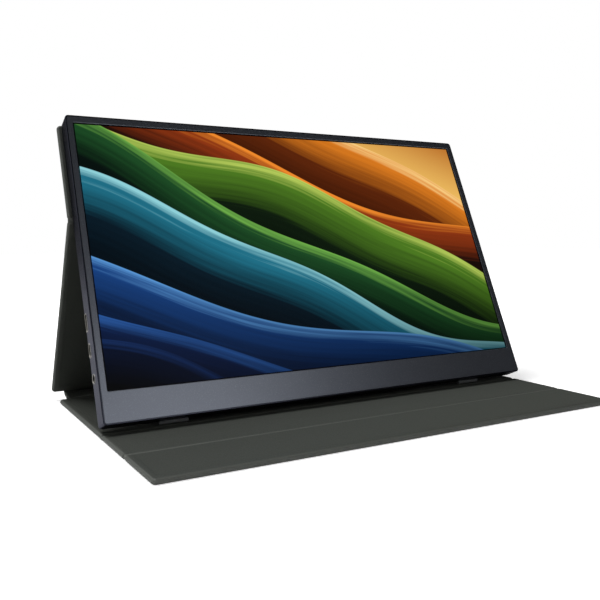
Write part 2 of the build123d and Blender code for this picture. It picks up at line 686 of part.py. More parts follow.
def hem_of(panel):
    """The hem's width, less on a narrow strip."""
    return min(HEM, (panel[2] - panel[1]) / 4)


def panel_board(*panel):
    return extrude(Pos(0, 0, SKIN_T) * inset_outline(*panel, SKIN_T), amount=BOARD_CORE_T)


def panel_lining(*panel):
    window = Pos(0, 0, SKIN_T + BOARD_CORE_T) * inset_outline(*panel, hem_of(panel))
    return extrude(window, amount=LINING_T)


def fold(width, *webs, bead=BEAD_R):
    """A leather fold seen end on: webs of a length and angle each, from a round bead on the fold's axis."""
    shape = Sketch() + Circle(bead)
    for length, angle in webs:
        shape += Rot(0, 0, angle) * Pos(length / 2, 0) * Rectangle(length, WEB_T)
    return extrude(Plane.YZ * shape, amount=width / 2, both=True)


# Panels as width, low end, high end, and which end is free: -1 low, +1 high, 0 neither
LEG = (BACK_W, LEG_FOOT_GAP, LEG_LENGTH - FOLD_HALF_GAP, -1)
UPPER = (BACK_W, FOLD_HALF_GAP, MONITOR_H - PANEL_TOP_INSET - CREASE_UP, 1)
REAR = (FLAP_W, GROOVE_Y + FOLD_HALF_GAP, SPINE_FOLD_Y - FOLD_HALF_GAP, 0)
MIDDLE = (FLAP_W, FRONT_FOLD_Y + FOLD_HALF_GAP, GROOVE_Y - FOLD_HALF_GAP, 0)
FRONT = (FLAP_W, FRONT_EDGE_Y, FRONT_FOLD_Y - FOLD_HALF_GAP, -1)
SPINE = (SPINE_W, FOLD_HALF_GAP, SPINE_LENGTH - SPINE_FOOT_GAP, 0)
CENTRED = Pos(0, 0, -PANEL_T / 2)
UPPER_PLACE = Pos(0, CREASE_UP, -CREASE_DEPTH) * CENTRED


def make_base_skin():
    skin = panel_skin(*REAR) + panel_skin(*MIDDLE)
    skin += SPINE_PLACE * CENTRED * panel_skin(*SPINE)
    groove_width = FLAP_W - 2 * FOLD_END_INSET
    skin += Pos(0, GROOVE_Y, FLAT_AXIS_Z) * fold(groove_width, (FOLD_HALF_GAP, 0), (FOLD_HALF_GAP, 180))
    spine_width = SPINE_W - 2 * FOLD_END_INSET
    return skin + Pos(0, SPINE_FOLD_Y, FLAT_AXIS_Z) * fold(
        spine_width, (FOLD_HALF_GAP, SPINE_RISE), (FOLD_HALF_GAP, 180)
    )


def make_base_lining():
    spine = SPINE_PLACE * CENTRED * panel_lining(*SPINE)
    return Compound(children=[panel_lining(*REAR), panel_lining(*MIDDLE), spine])


def make_spine_board():
    return SPINE_PLACE * CENTRED * panel_board(*SPINE)


def closers():
    """Bar magnets near the flap's free edge."""
    y = FRONT_EDGE_Y + CLOSER_FROM_EDGE
    bar = Box(CLOSER_L, CLOSER_W, BOARD_CORE_T)
    return [Pos(side * CLOSER_X, y, SKIN_T + BOARD_CORE_T / 2) * bar for side in (-1, 1)]


def make_front_flap_board():
    return panel_board(*FRONT) - closers()


def upper_magnets():
    bar = Box(MAGNET_W, MAGNET_H, BOARD_CORE_T)
    return [Pos(x, MAGNET_UP, SKIN_T + BOARD_CORE_T / 2) * bar for x in spread(MAGNETS, MAGNET_SPAN)]


def make_upper_back_board():
    return panel_board(*UPPER) - upper_magnets()


def make_front_fold():
    width = FLAP_W - 2 * FOLD_END_INSET
    return Pos(0, FRONT_FOLD_Y, FLAT_AXIS_Z) * fold(width, (FOLD_HALF_GAP, 0), (FOLD_HALF_GAP, 180))


def make_foot_fold():
    width = SPINE_W - 2 * FOLD_END_INSET
    webs = ((SPINE_FOOT_GAP, 180 + SPINE_RISE), (LEG_FOOT_GAP, 90 + LEG_LEAN))
    strip = fold(width, *webs, bead=FOOT_BEAD_R)
    return Pos(0, FOOT_FOLD_Y, AXIS_Z) * strip


def make_crease_fold():
    width = BACK_W - 2 * FOLD_END_INSET
    strip = fold(width, (FOLD_HALF_GAP, LEG_LEAN - 90), (FOLD_HALF_GAP, 90 - TILT))
    return Pos(0, CREASE_Y, CREASE_Z) * strip


def in_monitor(shape):
    return MONITOR_PLACE * shape


def in_leg(shape):
    return LEG_PLACE * CENTRED * shape


def on_back(shape):
    return MONITOR_PLACE * UPPER_PLACE * shape


def monitor_pieces():
    return {
        "rear_housing": make_rear_housing(),
        "front_bezel": make_front_bezel(),
        "lcd_cell": make_lcd_cell(),
        "optical_films": make_optical_films(),
        "light_guide": make_light_guide(),
        "reflector_sheet": make_reflector_sheet(),
        "backlight_tray": make_backlight_tray(),
        "led_bar": make_led_bar(),
        "panel_driver_board": make_panel_driver_board(),
        "driver_flexes": make_driver_flexes(),
        "main_board": make_main_board(),
        "board_screws": make_board_screws(),
        "mini_hdmi_port": make_mini_hdmi_port(),
        "usb_c_port": make_usb_c_port(),
        "headphone_jack": make_headphone_jack(),
        "speaker_left": make_speaker(-1),
        "speaker_right": make_speaker(1),
        "speaker_wires": make_speaker_wires(),
        "button_cable": make_button_cable(),
        "display_cable": make_display_cable(),
        "button_board": make_button_board(),
        "side_switches": make_side_switches(),
        "power_button": make_power_button(),
        "menu_rocker": make_menu_rocker(),
        "rubber_feet": make_rubber_feet(),
        "housing_plates": make_housing_plates(),
    }


def cover_pieces():
    return {
        "upper_back_skin": on_back(panel_skin(*UPPER)),
        "upper_back_board": on_back(make_upper_back_board()),
        "upper_back_lining": on_back(panel_lining(*UPPER)),
        "upper_back_magnets": on_back(Compound(children=upper_magnets())),
        "leg_skin": in_leg(panel_skin(*LEG)),
        "leg_board": in_leg(panel_board(*LEG)),
        "leg_lining": in_leg(panel_lining(*LEG)),
        "base_skin": make_base_skin(),
        "base_rear_board": panel_board(*REAR),
        "base_middle_board": panel_board(*MIDDLE),
        "spine_board": make_spine_board(),
        "base_lining": make_base_lining(),
        "front_flap_skin": panel_skin(*FRONT),
        "front_flap_board": make_front_flap_board(),
        "front_flap_lining": panel_lining(*FRONT),
        "front_flap_magnets": Compound(children=closers()),
        "front_fold_strip": make_front_fold(),
        "foot_fold_strip": make_foot_fold(),
        "crease_fold_strip": make_crease_fold(),
    }


def main():
    os.makedirs("parts", exist_ok=True)
    pieces = {name: in_monitor(shape) for name, shape in monitor_pieces().items()}
    pieces.update(cover_pieces())
    for name, shape in pieces.items():
        export_step(shape, f"parts/{name}.step")
    print("foot fold axis", round(FOOT_FOLD_Y, 4), round(AXIS_Z, 4))
    print("crease axis", round(CREASE_Y, 4), round(CREASE_Z, 4))
    print("front fold axis", round(FRONT_FOLD_Y, 4), round(FLAT_AXIS_Z, 4))
    print("leg length", round(LEG_LENGTH, 3), "leg lean", round(LEG_LEAN, 4))


main()
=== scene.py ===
import json
import math

import bmesh
import bpy
from bpy.props import FloatProperty, FloatVectorProperty, IntProperty, PointerProperty
from bpy.types import Operator, Panel, PropertyGroup
from mathutils import Matrix, Vector
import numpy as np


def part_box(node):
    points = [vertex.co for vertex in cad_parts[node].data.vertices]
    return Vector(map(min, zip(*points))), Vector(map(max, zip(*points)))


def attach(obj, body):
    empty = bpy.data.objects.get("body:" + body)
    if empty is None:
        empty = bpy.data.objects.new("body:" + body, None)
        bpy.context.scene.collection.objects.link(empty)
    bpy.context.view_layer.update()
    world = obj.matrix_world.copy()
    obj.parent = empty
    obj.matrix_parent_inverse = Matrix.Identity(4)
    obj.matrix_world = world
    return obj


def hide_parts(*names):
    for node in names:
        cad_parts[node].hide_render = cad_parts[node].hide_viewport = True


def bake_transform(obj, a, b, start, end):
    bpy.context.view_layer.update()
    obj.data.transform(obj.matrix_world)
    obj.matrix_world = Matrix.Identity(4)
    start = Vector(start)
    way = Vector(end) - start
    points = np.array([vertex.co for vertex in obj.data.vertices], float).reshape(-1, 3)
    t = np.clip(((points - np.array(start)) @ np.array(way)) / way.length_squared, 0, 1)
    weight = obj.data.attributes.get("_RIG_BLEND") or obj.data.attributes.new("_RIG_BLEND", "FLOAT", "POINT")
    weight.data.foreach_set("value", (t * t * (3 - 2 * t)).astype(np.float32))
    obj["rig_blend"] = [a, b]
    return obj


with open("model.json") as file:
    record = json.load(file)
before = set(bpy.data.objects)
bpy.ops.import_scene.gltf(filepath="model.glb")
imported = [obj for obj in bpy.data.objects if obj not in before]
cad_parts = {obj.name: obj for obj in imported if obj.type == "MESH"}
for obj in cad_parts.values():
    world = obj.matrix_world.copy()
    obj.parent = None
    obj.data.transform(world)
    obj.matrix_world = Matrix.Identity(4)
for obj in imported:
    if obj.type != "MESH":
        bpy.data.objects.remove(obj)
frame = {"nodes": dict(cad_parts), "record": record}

bl_info = {
    "name": "Portable monitor on its folding cover",
    "version": (1, 0, 0),
    "blender": (4, 5, 0),
    "location": "View3D > Sidebar > Monitor",
    "description": "Dresses the packed portable monitor in leather, metal, glass and light",
    "category": "Object",
}

MM = 0.001

# The frame's fold axes, as (y, z) in metres, and the other places that the part's source shares
JOINTS = {row["name"]: row for row in frame["record"]["behaviour"]["joints"]}
FOLD_AXIS = tuple(JOINTS["front_flap_fold"]["pos_m"][1:])
FOOT_AXIS = tuple(JOINTS["stand_fold"]["pos_m"][1:])
CREASE_AXIS = tuple(JOINTS["crease_fold"]["pos_m"][1:])
LEG_LENGTH = math.dist(FOOT_AXIS, CREASE_AXIS)
LEG_LEAN = math.atan2(FOOT_AXIS[0] - CREASE_AXIS[0], CREASE_AXIS[1] - FOOT_AXIS[1])
SPINE_LENGTH = 14.2 * MM
SPINE_RISE = math.asin((FOOT_AXIS[1] - FOLD_AXIS[1]) / SPINE_LENGTH)
SPINE_AXIS = (FOOT_AXIS[0] - SPINE_LENGTH * math.cos(SPINE_RISE), FOLD_AXIS[1])
GROOVE = FOLD_AXIS[0] + 48.4 * MM
BACK_LENGTH = 74.9 * MM
TILT = math.radians(24.0)
SCREEN_FOOT = (-23.222 * MM, 10.333 * MM)

# Depths behind the monitor's face, the sockets' places up its left side and behind its face, their
# tongues, and the light bar's place
BOARD_BACK = 8.9 * MM
DRIVER_BACK = 3.0 * MM
WALL_LEFT = -177.6 * MM
MOUTH = -177.0 * MM
JACK_UP = 32.0 * MM
USB_UP = 51.0 * MM
HDMI_UP = 70.0 * MM
JACK_DEPTH = BOARD_BACK + 0.4 * MM
USB_DEPTH = BOARD_BACK + 1.63 * MM
HDMI_DEPTH = BOARD_BACK + 1.6 * MM
TONGUE_IN = 1.6 * MM
TONGUE_HALF = 0.38 * MM
LIGHT_BAR_UP = 15.8 * MM
LIGHT_BAR_DEPTH = 3.0 * MM

# The cover: half the gap left for a fold, the gaps on both sides of the foot fold, the spine's
# width, how much narrower a fold is than its sections on each side, how far it is tucked under a
# section's end, the groove's depth, and the slopes beside the hem and beside the rounded edge
FOLD_HALF_GAP = 2.5 * MM
LEG_FOOT_GAP = 1.2 * MM
SPINE_FOOT_GAP = 4.2 * MM
SPINE_WIDTH = 343.0 * MM
FOLD_INSET = 0.3 * MM
FOLD_TUCK = 0.6 * MM
GROOVE_DEPTH = 1.2 * MM
HEM_SLOPE = 0.15 * MM
EDGE_SLOPE = 0.4 * MM

# Angles between faces below which they shade as one, and above which an edge is rounded
SMOOTH_BELOW = math.radians(34)
ROUND_ABOVE = math.radians(40)

# Local axes of the monitor: x across, y up the screen, z out of its face
FACE = Matrix.Translation((0, *SCREEN_FOOT)) @ Matrix.Rotation(math.pi / 2 - TILT, 4, "X")


# Colours and nodes

# The kinds of node that are used most, four of them with a setting
MATH, RANGE, VECTOR = "ShaderNodeMath", "ShaderNodeMapRange", "ShaderNodeCombineXYZ"
TIMES = (MATH, {"operation": "MULTIPLY"})
TIMES_PLUS = (MATH, {"operation": "MULTIPLY_ADD"})
MINUS = (MATH, {"operation": "SUBTRACT"})
COLOUR_MIX = ("ShaderNodeMix", {"data_type": "RGBA"})


def linear(code):
    """A hex colour as it looks on a display, turned into the light values that shaders use."""
    parts = [int(code[i:i + 2], 16) / 255 for i in (0, 2, 4)]
    parts = [c / 12.92 if c <= 0.04045 else ((c + 0.055) / 1.055) ** 2.4 for c in parts]
    return (*parts, 1.0)


def tone(colour, share):
    """The same colour, lighter or darker."""
    return (*[min(1.0, c * share) for c in colour[:3]], 1.0)


def add(tree, kind, inputs=(), out=0, stops=(), **settings):
    """Adds one node with its settings, colour stops and links, and gives the output asked for.

    Its kind is a name, or a name with settings. Inputs are given in order, or in a dict by name or
    number. Each is a value, another node's output, or a list of outputs for an input that takes
    several.
    """
    if isinstance(kind, tuple):
        kind, settings = kind[0], {**kind[1], **settings}
    node = tree.nodes.new(kind)
    for name, value in settings.items():
        setattr(node, name, value)
    for number, (spot, colour) in enumerate(stops):
        ramp = node.color_ramp.elements
        stop = ramp[number] if number < 2 else ramp.new(spot)
        stop.position, stop.color = spot, colour
    for key, value in inputs.items() if isinstance(inputs, dict) else enumerate(inputs):
        for one in value if isinstance(value, list) else [value]:
            if isinstance(one, bpy.types.NodeSocket):
                tree.links.new(one, node.inputs[key])
            else:
                node.inputs[key].default_value = one
    return node.outputs[out] if len(node.outputs) else node


def blank_material(name):
    """An empty material, its tree, and Object coordinates in metres."""
    material = bpy.data.materials.new(name)
    material.use_nodes = True
    tree = material.node_tree
    tree.nodes.clear()
    return material, tree, add(tree, "ShaderNodeTexCoord", out="Object")


def finish_material(tree, looks, height=None, depth=0.0):
    """The end of every material: a relief of height times depth metres, and the shader."""
    if height:
        relief = {"Height": height, "Distance": depth, "Strength": 1.0}
        looks["Normal"] = add(tree, "ShaderNodeBump", relief)
    add(tree, "ShaderNodeOutputMaterial", (add(tree, "ShaderNodeBsdfPrincipled", looks),))


def blotches(tree, place, size, detail=2.0, stretch=(1, 1, 1)):
    """A soft random pattern from 0 to 1, whose blotches are about size metres across."""
    scale = tuple(s / size for s in stretch)
    scaled = add(tree, "ShaderNodeMapping", {"Vector": place, "Scale": scale})
    return add(tree, "ShaderNodeTexNoise", {"Vector": scaled, "Scale": 1.0, "Detail": detail})


def varied(tree, pattern, colour, low=0.9, high=1.1):
    """A colour between a darker and a lighter tone of itself, as a pattern from 0 to 1 tells."""
    shades = {0: pattern, 6: tone(colour, low), 7: tone(colour, high)}
    return add(tree, COLOUR_MIX, shades, 2)


def grained(tree, pattern, rough, swing=0.06):
    """A roughness that a fine pattern swings about its middle."""
    return add(tree, RANGE, (pattern, 0.3, 0.7, rough - swing, rough + swing))


# Materials


def cover_leather(name, colour, worn_and_lit):
    """Polyurethane leather: a cloth with a coloured skin rolled on and pressed with a pebble grain.

    The skin is matt in the grain's valleys and a little shinier on its tops. It is lighter where it
    is turned round an edge or folded: partly rubbed wear, and partly a painted highlight where light
    would catch the rounded edge and the fold. Between the hems lies the lining, the same cloth with a
    fine sueded nap, which is flatter and has no shine. The pebbles are 0.9 mm across.
    """
    material, tree, place = blank_material(name)
    pebble_place = add(tree, "ShaderNodeMapping", {"Vector": place, "Scale": (1 / 0.0009,) * 3})
    pebbles = add(tree, "ShaderNodeTexVoronoi", {"Vector": pebble_place, "Scale": 1.0})
    fine = blotches(tree, place, 0.0004, 3.0)
    cloudy = blotches(tree, place, 0.018, 4.0)
    # Share of lighter colour on edges and folds: rubbed wear and a painted highlight
    wear = add(tree, "ShaderNodeAttribute", out="Fac", attribute_name="wear")
    lined = add(tree, "ShaderNodeAttribute", out="Fac", attribute_name="lining")

    skin = varied(tree, cloudy, colour, 0.88, 1.12)
    nap = varied(tree, fine, colour, 0.9, 1.16)
    facing = add(tree, COLOUR_MIX, {0: lined, 6: skin, 7: nap}, 2)
    patchy = add(tree, RANGE, (fine, 0.3, 0.7, 0.55, 1.0))
    # Edges and folds painted lighter, in patches: rubbed wear and a painted highlight
    rubbed_and_lit = add(tree, TIMES, (wear, patchy))

    shine = add(tree, RANGE, (pebbles, 0.0, 0.8, 0.5, 0.66))
    shallow = add(tree, RANGE, (lined, 0.0, 1.0, 0.7, 0.15))
    pressed = add(tree, TIMES, (pebbles, shallow))
    finish_material(tree, {
        "Base Color": add(tree, COLOUR_MIX, {0: rubbed_and_lit, 6: facing, 7: worn_and_lit}, 2),
        "Roughness": add(tree, TIMES_PLUS, (lined, 0.16, shine)),
        "Specular IOR Level": 0.3,
    }, add(tree, TIMES_PLUS, (fine, 0.3, pressed)), 0.00006)
    return material


def anodised_shell(name, colour, rough=0.4, glare=(1, 1, 1, 1)):
    """Aluminium, pressed, blasted with fine beads and dyed dark in an anodising bath.

    The blasting leaves dimples a third of a millimetre across, so a light shows on it as a soft
    glow with a fine sparkle. The dye takes some of the glare that bare metal has when it is seen
    along its face. Nickel, tin and gold from a plating bath look the same in their own colours,
    with their full glare.
    """
    material, tree, place = blank_material(name)
    dimples = blotches(tree, place, 0.00035)
    finish_material(tree, {
        "Base Color": varied(tree, blotches(tree, place, 0.03), colour, 0.92, 1.08),
        "Roughness": grained(tree, dimples, rough),
        "Metallic": 1.0, "Specular Tint": glare,
    }, dimples, 0.00001)
    return material


def satin_plate(name, colour, fleck):
    """The front plate: a hard sheet sprayed with satin lacquer full of fine metal flake.

    It mirrors a lamp as a wide soft band, dark grey where no lamp stands, and the flakes, drawn
    three times as coarse as they are, make the band slightly grainy.
    """
    material, tree, place = blank_material(name)
    flakes = blotches(tree, place, 0.0006, 1.0)
    lacquer = varied(tree, blotches(tree, place, 0.02), colour, 0.95, 1.05)
    spots = add(tree, RANGE, (flakes, 0.55, 0.8, 0.0, 0.4))
    finish_material(tree, {
        "Base Color": add(tree, COLOUR_MIX, {0: spots, 6: lacquer, 7: fleck}, 2),
        "Roughness": grained(tree, flakes, 0.355, 0.025),
        "Metallic": 0.93,
    }, flakes, 0.000001)
    return material


def moulded_plastic(name, colour, grain=0.0006, rough=0.45):
    """Plastic from a mould whose walls were etched, so it comes out with a fine even frosting."""
    material, tree, place = blank_material(name)
    frost = blotches(tree, place, grain)
    flow = blotches(tree, place, 0.009, 2.0, (0.3, 1, 1))
    finish_material(tree, {
        "Base Color": varied(tree, flow, colour), "Roughness": grained(tree, frost, rough),
    }, frost, 0.000012)
    return material


def monitor_axes(tree, place):
    """Object coordinates turned into the monitor's own: across, up the screen, out of its face."""
    turn = Matrix.Rotation(TILT - math.pi / 2, 3, "X")
    shift = -(turn @ Vector((0, *SCREEN_FOOT)))
    turned = {"Vector": place, "Location": tuple(shift), "Rotation": (TILT - math.pi / 2, 0, 0)}
    own = add(tree, "ShaderNodeMapping", turned)
    return add(tree, "ShaderNodeSeparateXYZ", (own,)).node.outputs


def swept_edge(tree, along_it, middle, swing, pace, start):
    """A gently waving line across the picture: middle, plus two sine waves."""
    waves = middle
    for part, speed in ((1.0, 1.0), (0.35, 2.6)):
        phase = (along_it, pace * speed, start * (1 + speed))
        turned = add(tree, TIMES_PLUS, phase)
        wave = add(tree, MATH, (turned,), operation="SINE")
        waves = add(tree, TIMES_PLUS, (wave, swing * part, waves))
    return waves


# The silk bands of the picture, from the top down: where the upper edge runs, how far it swings,
# how fast and from where, the colours along that edge, in its body and in its fold, and the band's
# depth
SILKS = (
    (1.34, 0.07, 2.1, 0.4, "ffd98c", "d97a1f", "5a2409", 0.34),
    (1.17, 0.09, 1.7, 1.9, "f08a2c", "8c3512", "1a0b07", 0.30),
    (1.00, 0.06, 2.6, 3.1, "b9cf5e", "4d7a21", "0c1a0b", 0.36),
    (0.84, 0.10, 1.9, 4.4, "6fae4a", "1c4a24", "05100c", 0.28),
    (0.68, 0.07, 2.4, 0.9, "8fd0d8", "1f6f86", "071a26", 0.30),
    (0.50, 0.09, 1.6, 2.4, "5f9fe0", "17407e", "060d1e", 0.34),
    (0.30, 0.06, 2.2, 5.2, "2f62b0", "0f2450", "04070f", 0.30),
    (0.12, 0.05, 2.9, 3.7, "1c3a74", "0a1734", "020409", 0.26),
)


def screen_picture(name, width, height, low):
    """The display: a glass cell with a frosted film, lit from behind through colour filters.

    The picture is a set of overlapping silk bands, each bright along its upper edge and fading
    below it, and a black border runs round it.
    """
    material, tree, place = blank_material(name)
    axes = monitor_axes(tree, place)
    across = add(tree, RANGE, (axes["X"], -width / 2, width / 2, 0.0, 1.0))
    up = add(tree, RANGE, (axes["Y"], low, low + height, 0.0, 1.0))
    wide = add(tree, TIMES, (across, width / height))
    lean = add(tree, TIMES, (up, 0.93))
    level = add(tree, TIMES_PLUS, (wide, 0.36, lean))
    lean = add(tree, TIMES, (up, -0.36))
    along_it = add(tree, TIMES_PLUS, (wide, 0.93, lean))
    sky = add(tree, RANGE, (level, 0.9, 1.6, 0.0, 1.0))
    colours = add(tree, "ShaderNodeValToRGB", (sky,), stops=[
        (0.0, linear("e8963a")), (0.5, linear("f6c768")), (1.0, linear("b5651f")),
    ])
    for number, (middle, swing, pace, start, lit, body, deep, reach) in enumerate(SILKS):
        edge = swept_edge(tree, along_it, middle, swing, pace, start)
        below = add(tree, MINUS, (edge, level))
        drawn = add(tree, TIMES, (along_it, 1.4))
        packed = add(tree, TIMES, (below, 60.0))
        threads = {"Vector": add(tree, VECTOR, (drawn, packed)), "W": number * 3.7}
        threads |= {"Scale": 1.0, "Detail": 4.0}
        sheen = add(tree, "ShaderNodeTexNoise", threads, noise_dimensions="4D")
        depth = add(tree, RANGE, (below, 0.0, reach, 0.0, 1.0))
        streak = add(tree, RANGE, (sheen, 0.3, 0.7, 0.09, -0.06))
        depth = add(tree, MATH, (depth, streak), operation="ADD")
        band = add(tree, "ShaderNodeValToRGB", (depth,), stops=[
            (0.0, linear(lit)), (0.16, linear(body)),
            (0.62, linear(deep)), (1.0, tone(linear(deep), 0.4)),
        ])
        covers = add(tree, RANGE, (below, -0.0015, 0.0015, 0.0, 1.0))
        colours = add(tree, COLOUR_MIX, {0: covers, 6: colours, 7: band}, 2)
    dimmed = add(tree, RANGE, (up, 0.0, 0.42, 0.3, 1.0))
    lit_up = add(tree, "ShaderNodeVectorMath", (colours, dimmed), operation="MULTIPLY")
    inside = add(tree, MATH, (across, 0.5, 0.4985), operation="COMPARE")
    within = add(tree, MATH, (up, 0.5, 0.4975), operation="COMPARE")
    shown = add(tree, TIMES, (inside, within))
    frost = blotches(tree, place, 0.0002, 1.0)
    border = linear("020203")
    finish_material(tree, {
        "Base Color": linear("030304"),
        "Emission Color": add(tree, COLOUR_MIX, {0: shown, 6: border, 7: lit_up}, 2),
        "Emission Strength": 1.0,
        "Roughness": grained(tree, frost, 0.36),
        "Specular IOR Level": 0.04,
    })
    return material


def circuit_board(name, face_depth):
    """Glass fibre laminate with etched copper under a green lacquer, and black moulded chips on it.

    The copper shows through the lacquer as paler lines, in straight runs 0.8 mm apart, a few times
    as wide as the real ones. What stands further back than the board is moulded epoxy.
    """
    material, tree, place = blank_material(name)
    axes = monitor_axes(tree, place)
    runs = []
    for axis in ("X", "Y"):
        spread = add(tree, TIMES, (axes[axis], 1250.0))
        part = add(tree, MATH, (spread,), operation="FRACT")
        runs.append(add(tree, MATH, (part, 0.6), operation="GREATER_THAN"))
    patch = blotches(tree, place, 0.011, 0.0)
    turned = add(tree, MATH, (patch, 0.5), operation="GREATER_THAN")
    lines = add(tree, "ShaderNodeMix", {0: turned, 2: runs[0], 3: runs[1]}, data_type="FLOAT")
    ground = blotches(tree, place, 0.016, 1.0, (1, 1.4, 1))
    open_ground = add(tree, MATH, (ground, 0.47), operation="GREATER_THAN")
    copper = add(tree, TIMES, (lines, open_ground))
    shades = {6: linear("174a2f"), 7: linear("2f7a4c")}
    lacquer = add(tree, COLOUR_MIX, {0: copper, **shades}, 2)
    shades = {6: linear("141517"), 7: linear("202124")}
    frost = blotches(tree, place, 0.0006)
    epoxy = add(tree, COLOUR_MIX, {0: frost, **shades}, 2)
    chip = add(tree, MATH, (axes["Z"], -face_depth - 0.00005), operation="LESS_THAN")
    finish_material(tree, {
        "Base Color": add(tree, COLOUR_MIX, {0: chip, 6: lacquer, 7: epoxy}, 2),
        "Roughness": add(tree, RANGE, (chip, 0.0, 1.0, 0.3, 0.55)),
    }, copper, 0.00003)
    return material


def flexible_print(name):
    """Copper tracks rolled onto amber polyimide film and covered with another film.

    The eye sees dark amber gloss with fine paler stripes along it, drawn at 0.7 mm.
    """
    material, tree, place = blank_material(name)
    comb = add(tree, MATH, (monitor_axes(tree, place)["X"], 0.00035), operation="PINGPONG")
    tracks = add(tree, RANGE, (comb, 0.00012, 0.0002, 0.0, 1.0))
    shades = {6: linear("9a5416"), 7: linear("b4671c")}
    film = add(tree, COLOUR_MIX, {0: blotches(tree, place, 0.006), **shades}, 2)
    striped = {0: tracks, 6: film, 7: linear("d08b3a")}
    finish_material(tree, {
        "Base Color": add(tree, COLOUR_MIX, striped, 2), "Roughness": 0.3,
    }, tracks, 0.00002)
    return material


def plain_parts():
    """Materials of the pieces inside, by the record's slot."""
    return {
        "black_plastic": moulded_plastic("moulded_abs", linear("1b1c1e")),
        "optical_film": moulded_plastic("prism_film", linear("e8ebec"), 0.0003, 0.3),
        "light_guide": moulded_plastic("cast_acrylic", linear("dfe9ea"), 0.0012, 0.12),
        "reflector": moulded_plastic("white_polyester", linear("f2f2ee"), 0.0008, 0.6),
        "amber_film": flexible_print("polyimide_print"),
        "wire_jacket": moulded_plastic("pvc_jacket", linear("24262a"), 0.0006, 0.5),
        "cover_board": moulded_plastic("glass_fibre_board", linear("8a867d"), 0.0011, 0.9),
        "tray_metal": anodised_shell("pressed_tray_sheet", linear("9a9da1")),
        "plated_steel": anodised_shell("nickel_plated_steel", linear("d4d2ca"), 0.5),
        "cover_magnet": anodised_shell("nickel_plated_magnet", linear("a9a9a6")),
    }


# Mesh tools


def new_piece(name, bm, material, body=None):
    """A bmesh made into an object at the origin, smooth where its faces meet at a slight angle."""
    mesh = bpy.data.meshes.new(name)
    bm.normal_update()
    bm.to_mesh(mesh)
    bm.free()
    mesh.materials.append(material)
    mesh.shade_smooth()
    mesh.set_sharp_from_angle(angle=SMOOTH_BELOW)
    piece = bpy.data.objects.new(name, mesh)
    bpy.context.scene.collection.objects.link(piece)
    if body:
        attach(piece, body)
    return piece


def from_frame(node):
    """The frame's own mesh of a node, with its loose triangles joined into whole faces."""
    bm = bmesh.new()
    bm.from_mesh(frame["nodes"][node].data)
    bmesh.ops.remove_doubles(bm, verts=bm.verts, dist=0.000002)
    bmesh.ops.dissolve_limit(bm, angle_limit=math.radians(0.4), verts=bm.verts, edges=bm.edges)
    return bm


def section(half, up, down, edge, hem, step):
    """A wrapped board seen end on, as (x, height, wear and painted highlight, lining), from its lower corner
    round.
    """
    edge = min(edge, (up + down) / 2 - 0.00002)
    arc = 5
    points = []
    corners = (
        (1, -down + edge, -90), (1, up - edge, 0),
        (-1, up - edge, 90), (-1, -down + edge, 180),
    )
    for number, (side, level, start) in enumerate(corners):
        for i in range(arc):
            angle = math.radians(start + 90 * i / (arc - 1))
            x = side * (half - edge) + edge * math.cos(angle)
            # Lightest where the rounded edge faces sideways: rubbed wear and a painted highlight of light on
            # the edge
            points.append((x, level + edge * math.sin(angle), abs(math.cos(angle)) ** 0.5, 0.0))
        if number == 1:
            flat, turned = half - edge - EDGE_SLOPE, half - hem
            lined = turned - HEM_SLOPE
            for x, z, lining in (
                (flat, up, 0.0), (turned, up, 0.0), (lined, up - step, 1.0),
                (-lined, up - step, 1.0), (-turned, up, 0.0), (-flat, up, 0.0),
            ):
                points.append((x, z, 0.0, lining if step else 0.0))
        if number == 3:
            flat = half - edge - EDGE_SLOPE
            points += [(-flat, -down, 0.0, 0.0), (flat, -down, 0.0, 0.0)]
    return points


def ribbon(bm, stations):
    """A closed skin through stations, each (y, z, angle, half, up, down, edge, hem, step, wear and painted
    highlight).
    """
    layers = bm.verts.layers.float
    wear_and_highlight_layer, lining_layer = (layers.get(name) or layers.new(name) for name in ("wear", "lining"))
    loops = []
    for y, z, angle, half, up, down, edge, hem, step, worn_and_lit in stations:
        normal = (-math.sin(angle), math.cos(angle))
        loop = []
        for x, height, wear, lining in section(half, up, down, edge, hem, step):
            vert = bm.verts.new((x, y + height * normal[0], z + height * normal[1]))
            # The edge's share of lighter colour: rubbed wear and a painted highlight
            vert[wear_and_highlight_layer] = max(wear * 0.6, worn_and_lit)
            vert[lining_layer] = lining
            loop.append(vert)
        loops.append(loop)
    for a, b in zip(loops, loops[1:]):
        for i in range(len(a)):
            j = (i + 1) % len(a)
            bm.faces.new((a[i], b[i], b[j], a[j]))
    bm.faces.new(loops[0])
    bm.faces.new(reversed(loops[-1]))


def along(origin, angle, distance):
    """The point at a distance along a panel from its fold."""
    return origin[0] + distance * math.cos(angle), origin[1] + distance * math.sin(angle)


def end_steps(radius, edge, hem):
    """Distances from a free end at which the board's outline is drawn."""
    near = [edge * (1 - math.cos(math.radians(a))) for a in (0, 25, 50, 70, 90)]
    far = [edge + (radius - edge) * t for t in (0.2, 0.45, 0.7, 1.0)]
    return near + far + [hem, hem + HEM_SLOPE]


